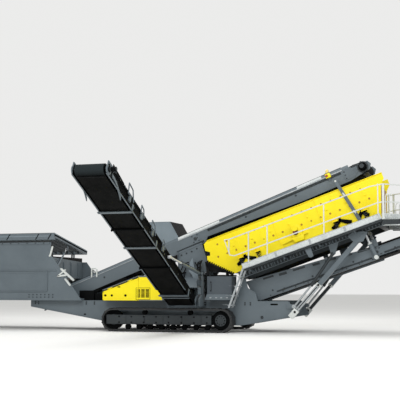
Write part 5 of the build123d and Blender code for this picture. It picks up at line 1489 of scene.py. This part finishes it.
for low, high in headGuard["ribs"]:
    addSpan(guardRibs, sideFrame, low, high)
finishPiece("headGuards", headGuards, "greyEnamel", body="side_conveyor")
finishPiece("guardRibs", guardRibs, "greyEnamel", body="side_conveyor")

# Mount of the side conveyor: bolts through its cheeks, shaft collars and stiffening strips
mount = {
    "cheeks": (0.876, 1.0),
    "bolts": ((-0.94, 0.74), (-0.94, 0.8), (-1.05, 0.74), (-1.05, 0.8)),
    "pin": (-1.18, 1.56),
    "pinEnds": ((1.006, 1.025), (0.872, 0.88)),
    "strips": (((0.9, -1.3, 1.02), (0.984, -1.285, 1.2)), ((0.888, -1.16, 1.24), (0.984, -1.148, 1.4))),
    "shaft": (-1.45, 0.85),
    "collars": ((0.876, 0.9), (0.06, 0.084)),
}
mountTrim = bmesh.new()
mountBolts = bmesh.new()
for x in mount["cheeks"]:
    for place in mount["bolts"]:
        addRod(mountBolts, (x - 0.012, *place), (x + 0.02, *place), 0.016, 6)
for low, high in mount["pinEnds"]:
    addRod(mountBolts, (low, *mount["pin"]), (high, *mount["pin"]), 0.034, 20)
for low, high in mount["strips"]:
    addSpan(mountTrim, level, low, high)
for low, high in mount["collars"]:
    addRod(mountTrim, (low, *mount["shaft"]), (high, *mount["shaft"]), 0.06, 24)
finishPiece("mountTrim", mountTrim, "greyEnamel")
finishPiece("mountBolts", mountBolts, "darkEnamel")

# Lift ram of the side conveyor: bright rod, glands with ports on the barrel and a pipe between them
ram = {
    "start": (0.936, -1.18, 1.56),
    "end": (0.936, -3.7235, 1.9424),
    "rod": (1.72, 0.06, 0.0266),
    "glands": (0.1, 1.66),
    "gland": (0.046, 0.0385),
    "port": (0.04, 0.07),
    "pipe": (0.12, 1.68),
    "pipeRise": 0.062,
}
ramStart, ramEnd = Vector(ram["start"]), Vector(ram["end"])
ramAlong = (ramEnd - ramStart).normalized()
ramChrome = bmesh.new()
ramFittings = bmesh.new()
fromBase, fromEye, radius = ram["rod"]
addRod(ramChrome, ramStart + ramAlong * fromBase, ramEnd - ramAlong * fromEye, radius, 24)
for distance in ram["glands"]:
    gland = ramStart + ramAlong * distance
    port = gland + ramAlong * 0.02
    addRing(ramFittings, gland, gland + ramAlong * 0.035, *ram["gland"])
    low, high = (port + Vector((0, 0, rise)) for rise in ram["port"])
    addRod(ramFittings, low, high, 0.013, 12)
pipeRise = Vector((0, 0, ram["pipeRise"]))
pipeStart, pipeEnd = (ramStart + ramAlong * distance + pipeRise for distance in ram["pipe"])
addRod(ramFittings, pipeStart, pipeEnd, 0.007, 10)
finishPiece("liftRamChrome", ramChrome, "chromedRod", body="lift_rod")
finishPiece("liftRamFittings", ramFittings, "darkEnamel", body="lift_barrel")
print("side conveyor dressed")

# Fines conveyor: flanges, splice plates, dark patches along the top of the web as painted shade under the walkway,
# bolts and skirts
rear = {
    "face": 0.65,
    "flange": (0.65, 0.672),
    "flanges": (((0.1, -0.17), (3.47, -0.17)), ((3.49, -0.095), (7.83, -0.095)), ((3.49, 0.136), (7.83, 0.136)),
                ((2.15, 0.291), (3.47, 0.136)), ((-0.12, 0.426), (2.15, 0.291))),
    "shadePatches": ((0.35, 0.3, 0.05), (0.8, 0.22, 0.07), (1.2, 0.34, 0.05), (1.75, 0.2, 0.06), (2.1, 0.3, 0.05),
                (2.6, 0.24, 0.055), (3.0, 0.3, 0.05)),
    "splices": (((3.36, -0.15), (3.45, -0.15), (3.45, 0.14), (3.36, 0.15)),
                ((3.5, -0.09), (3.6, -0.09), (3.6, 0.14), (3.5, 0.14))),
    "spliceBolts": [(u, v) for u in (3.39, 3.42, 3.55, 3.57) for v in (-0.06, 0.1)],
    "webBolts": [(u, -0.02) for u in (0.5, 1.65, 2.8, 3.95, 5.1, 6.25, 7.4)],
    "lowBolts": ((0.4, -0.13), (3.3, -0.13), 9),
    "fold": (3.478, 0.02),
    "foldPin": (0.662, 0.69),
    "blocks": (((3.38, 0.16), (3.56, 0.36)), ((7.6, -0.08), (7.82, 0.12))),
    "skirt": ((0.1, 0.14), (7.4, 0.21)),
    "scraper": ((7.6, -0.56, -0.15), (7.612, 0.56, -0.12)),
}
rearFlanges = bmesh.new()
rearBolts = bmesh.new()
rearShadePatches = bmesh.new()
rearSkirts = bmesh.new()
for side in sides:
    face = rear["face"]
    for start, end in rear["flanges"]:
        addStrip(rearFlanges, finesRun, side, rear["flange"], start, end, 0.014)
    for outline in rear["splices"]:
        addSheet(rearFlanges, finesRun, side, (face, face + 0.011), outline)
    for start, end in rear["blocks"]:
        addBar(rearFlanges, finesRun, side, (0.6, 0.66), start, end)
    for u, width, height in rear["shadePatches"]:
        top = 0.4 - u * 0.065
        addSheet(rearShadePatches, finesRun, side, (face, face + 0.006),
                 [(u, top - height), (u + width, top - height - 0.012), (u + width, top - 0.012), (u, top)])
    addSideBolts(rearBolts, finesRun, side, face, rear["webBolts"], 0.018)
    addSideBolts(rearBolts, finesRun, side, face, row(*rear["lowBolts"]), 0.012)
    addSideBolts(rearBolts, finesRun, side, face + 0.011, rear["spliceBolts"], 0.01)
    addBoss(rearBolts, finesRun, side, rear["foldPin"], rear["fold"], 0.038)
    addBar(rearSkirts, finesRun, side, (0.59, 0.6), *rear["skirt"])
addSpan(rearSkirts, finesRun, *rear["scraper"])
finishPiece("rearFlanges", rearFlanges, "greyEnamel")
finishPiece("rearBolts", rearBolts, "darkEnamel")
finishPiece("rearShadePatches", rearShadePatches, "darkEnamel")
finishPiece("rearSkirts", rearSkirts, "hoseRubber")

# Link cylinders that carry the fines conveyor: clevis discs, glands and bright rods
link = {
    "out": 0.725,
    "clevises": ((5.276, 2.69), (5.601, 1.99)),
    "clevisFaces": ((-0.065, -0.045), (0.045, 0.065)),
    "clevisRadius": 0.055,
    "gland": (5.43, 2.354),
    "rodRadius": 0.0336,
    "glandRadius": 0.062,
}
linkClevises = bmesh.new()
linkChrome = bmesh.new()
for side in sides:
    y = side * link["out"]
    for x, z in link["clevises"]:
        for low, high in link["clevisFaces"]:
            addRod(linkClevises, (x, y + side * low, z), (x, y + side * high, z), link["clevisRadius"], 24)
    gland = Vector((link["gland"][0], y, link["gland"][1]))
    eye = Vector((link["clevises"][0][0], y, link["clevises"][0][1]))
    away = (eye - gland).normalized()
    addRod(linkChrome, gland.lerp(eye, 0.02), gland.lerp(eye, 0.88), link["rodRadius"], 20)
    addRod(linkClevises, gland - away * 0.03, gland + away * 0.004, link["glandRadius"], 20)
finishPiece("linkClevises", linkClevises, "whiteEnamel")
finishPiece("linkRodChrome", linkChrome, "chromedRod")

# Steel pipes on the near web, each run by its two ends and its height, with the clips that hold it
rearRuns = {
    "pipes": ((0.6, 3.3, -0.1), (0.6, 3.3, -0.078), (3.65, 7.4, -0.06), (3.65, 7.4, -0.038)),
    "clips": [(0.8 + i * 0.55, -0.115) for i in range(5)] + [(4.0 + i * 0.8, -0.075) for i in range(5)],
    "out": 0.662,
    "clipSize": (0.04, 0.055),
    "clipDepth": (0.65, 0.674),
    "drum": (7.684, 0),
    # the discs of the head drum's motor: depth, radius and segments
    "discs": (((0.65, 0.675), 0.12, 28), ((0.85, 0.865), 0.055, 20)),
}
rearPipes = bmesh.new()
for start, end, v in rearRuns["pipes"]:
    addRodOn(rearPipes, finesRun, (start, -rearRuns["out"], v), (end, -rearRuns["out"], v), 0.008, 8)
wide, tall = rearRuns["clipSize"]
for u, v in rearRuns["clips"]:
    addBar(rearPipes, finesRun, -1, rearRuns["clipDepth"], (u, v), (u + wide, v + tall))
for depth, radius, segments in rearRuns["discs"]:
    addBoss(rearPipes, finesRun, -1, depth, rearRuns["drum"], radius, segments)
finishPiece("rearPipes", rearPipes, "darkEnamel")
print("fines conveyor dressed")

# Hopper end: the pale folding links, each by its two ends, its gap from the wall and its half width
links = {
    "face": 1.112,
    "thick": 0.014,
    "bars": (((-3.244, 1.729), (-2.856, 1.411), 0.0, 0.03), ((-3.342, 1.528), (-3.06, 1.556), 0.014, 0.024),
             ((-3.106, 1.441), (-2.955, 1.268), 0.014, 0.026), ((-3.34, 1.53), (-3.11, 1.7), 0.014, 0.02)),
    "strap": ((-3.63, 2.08), (-3.58, 2.09), (-3.5, 2.36), (-3.52, 2.39), (-3.55, 2.37)),
    "strapDepth": (1.112, 1.13),
    "strapPins": ((-3.61, 2.11), (-3.525, 2.36)),
    "pinDepth": (1.112, 1.142),
}
foldingLinks = bmesh.new()
for side in sides:
    for startPoint, endPoint, gap, width in links["bars"]:
        start, end = Vector(startPoint), Vector(endPoint)
        along = (end - start).normalized() * width
        across = Vector((-along.y, along.x))
        inner = links["face"] + gap
        addSheet(foldingLinks, level, side, (inner, inner + links["thick"]),
                 [start - across, end - across, end + along, end + across, start + across, start - along])
        for point in (start, end):
            addBoss(foldingLinks, level, side, (links["face"], inner + 0.03), point, 0.017, 12)
addSheet(foldingLinks, level, -1, links["strapDepth"], links["strap"])
for place in links["strapPins"]:
    addBoss(foldingLinks, level, -1, links["pinDepth"], place, 0.02, 12)
finishPiece("foldingLinks", foldingLinks, "whiteEnamel")

hoop = ((-2.52, -0.62, 1.5), (-2.52, -0.62, 1.72), (-2.49, -0.62, 1.75), (-2.39, -0.62, 1.75), (-2.36, -0.62, 1.72),
        (-2.36, -0.62, 1.5))
hoopBracket = bmesh.new()
addTube(hoopBracket, hoop, 0.02)
finishPiece("hoopBracket", hoopBracket, "whiteEnamel")

# Rams of the tipping grid at both ends of the hopper: glands on the barrel, bright rods
gridRam = {
    "ends": (-7.988, -3.554),
    "base": (-0.9, 1.65),
    "eye": (-0.15, 2.33),
    "glands": (0.06, 0.85),
    "gland": (0.031, 0.0245, 20),
    "rod": (0.885, 0.03, 0.0165),
}
gridRamFittings = bmesh.new()
gridRamChrome = bmesh.new()
for x in gridRam["ends"]:
    base, eye = Vector((x, *gridRam["base"])), Vector((x, *gridRam["eye"]))
    away = (eye - base).normalized()
    for distance in gridRam["glands"]:
        addRing(gridRamFittings, base + away * distance, base + away * (distance + 0.025), *gridRam["gland"])
    fromBase, fromEye, radius = gridRam["rod"]
    addRod(gridRamChrome, base + away * fromBase, eye - away * fromEye, radius, 18)
finishPiece("gridRamFittings", gridRamFittings, "darkEnamel", body="grid_barrels")
finishPiece("gridRamChrome", gridRamChrome, "chromedRod", body="grid_rods")

hinge = {
    "places": (-7.6, -5.775, -3.95),
    "head": (0.045, 0.058),
}
hingePins = bmesh.new()
for x in hinge["places"]:
    for way in sides:
        start, end = ((x + way * reach, *grid["hinge"]) for reach in hinge["head"])
        addRod(hingePins, start, end, 0.036, 20)
finishPiece("hingePins", hingePins, "darkEnamel")

# Bolts of the wear plates on the hopper's slopes, each side with its own rim, and the feeder belt's seams
liner = {
    "rims": ((-1, 2.44), (1, 1.92)),
    "foot": (0.555, 1.43),
    "rows": (0.25, 0.52, 0.79),
    "stations": [-7.7 + i * 0.49 for i in range(9)],
    "seams": [((-7.55, y - 0.01, 1.392), (-4.1, y + 0.01, 1.396)) for y in (-0.3, 0.3)],
}
linerBolts = bmesh.new()
for side, rim in liner["rims"]:
    out = Vector((0, -side * (rim - 1.426), 0.56)).normalized()
    for share in liner["rows"]:
        y = side * (liner["foot"][0] + (1.1 - liner["foot"][0]) * share - 0.015)
        z = liner["foot"][1] + (rim - liner["foot"][1]) * share + 0.004
        for x in liner["stations"]:
            foot = Vector((x, y, z))
            addRod(linerBolts, foot - out * 0.004, foot + out * 0.012, 0.018, 10)
finishPiece("linerBolts", linerBolts, "wornLinerPlate")
feederSeams = bmesh.new()
for low, high in liner["seams"]:
    addSpan(feederSeams, level, low, high)
finishPiece("feederSeams", feederSeams, "beltRubber")
print("hopper end dressed")

print("all stages done")
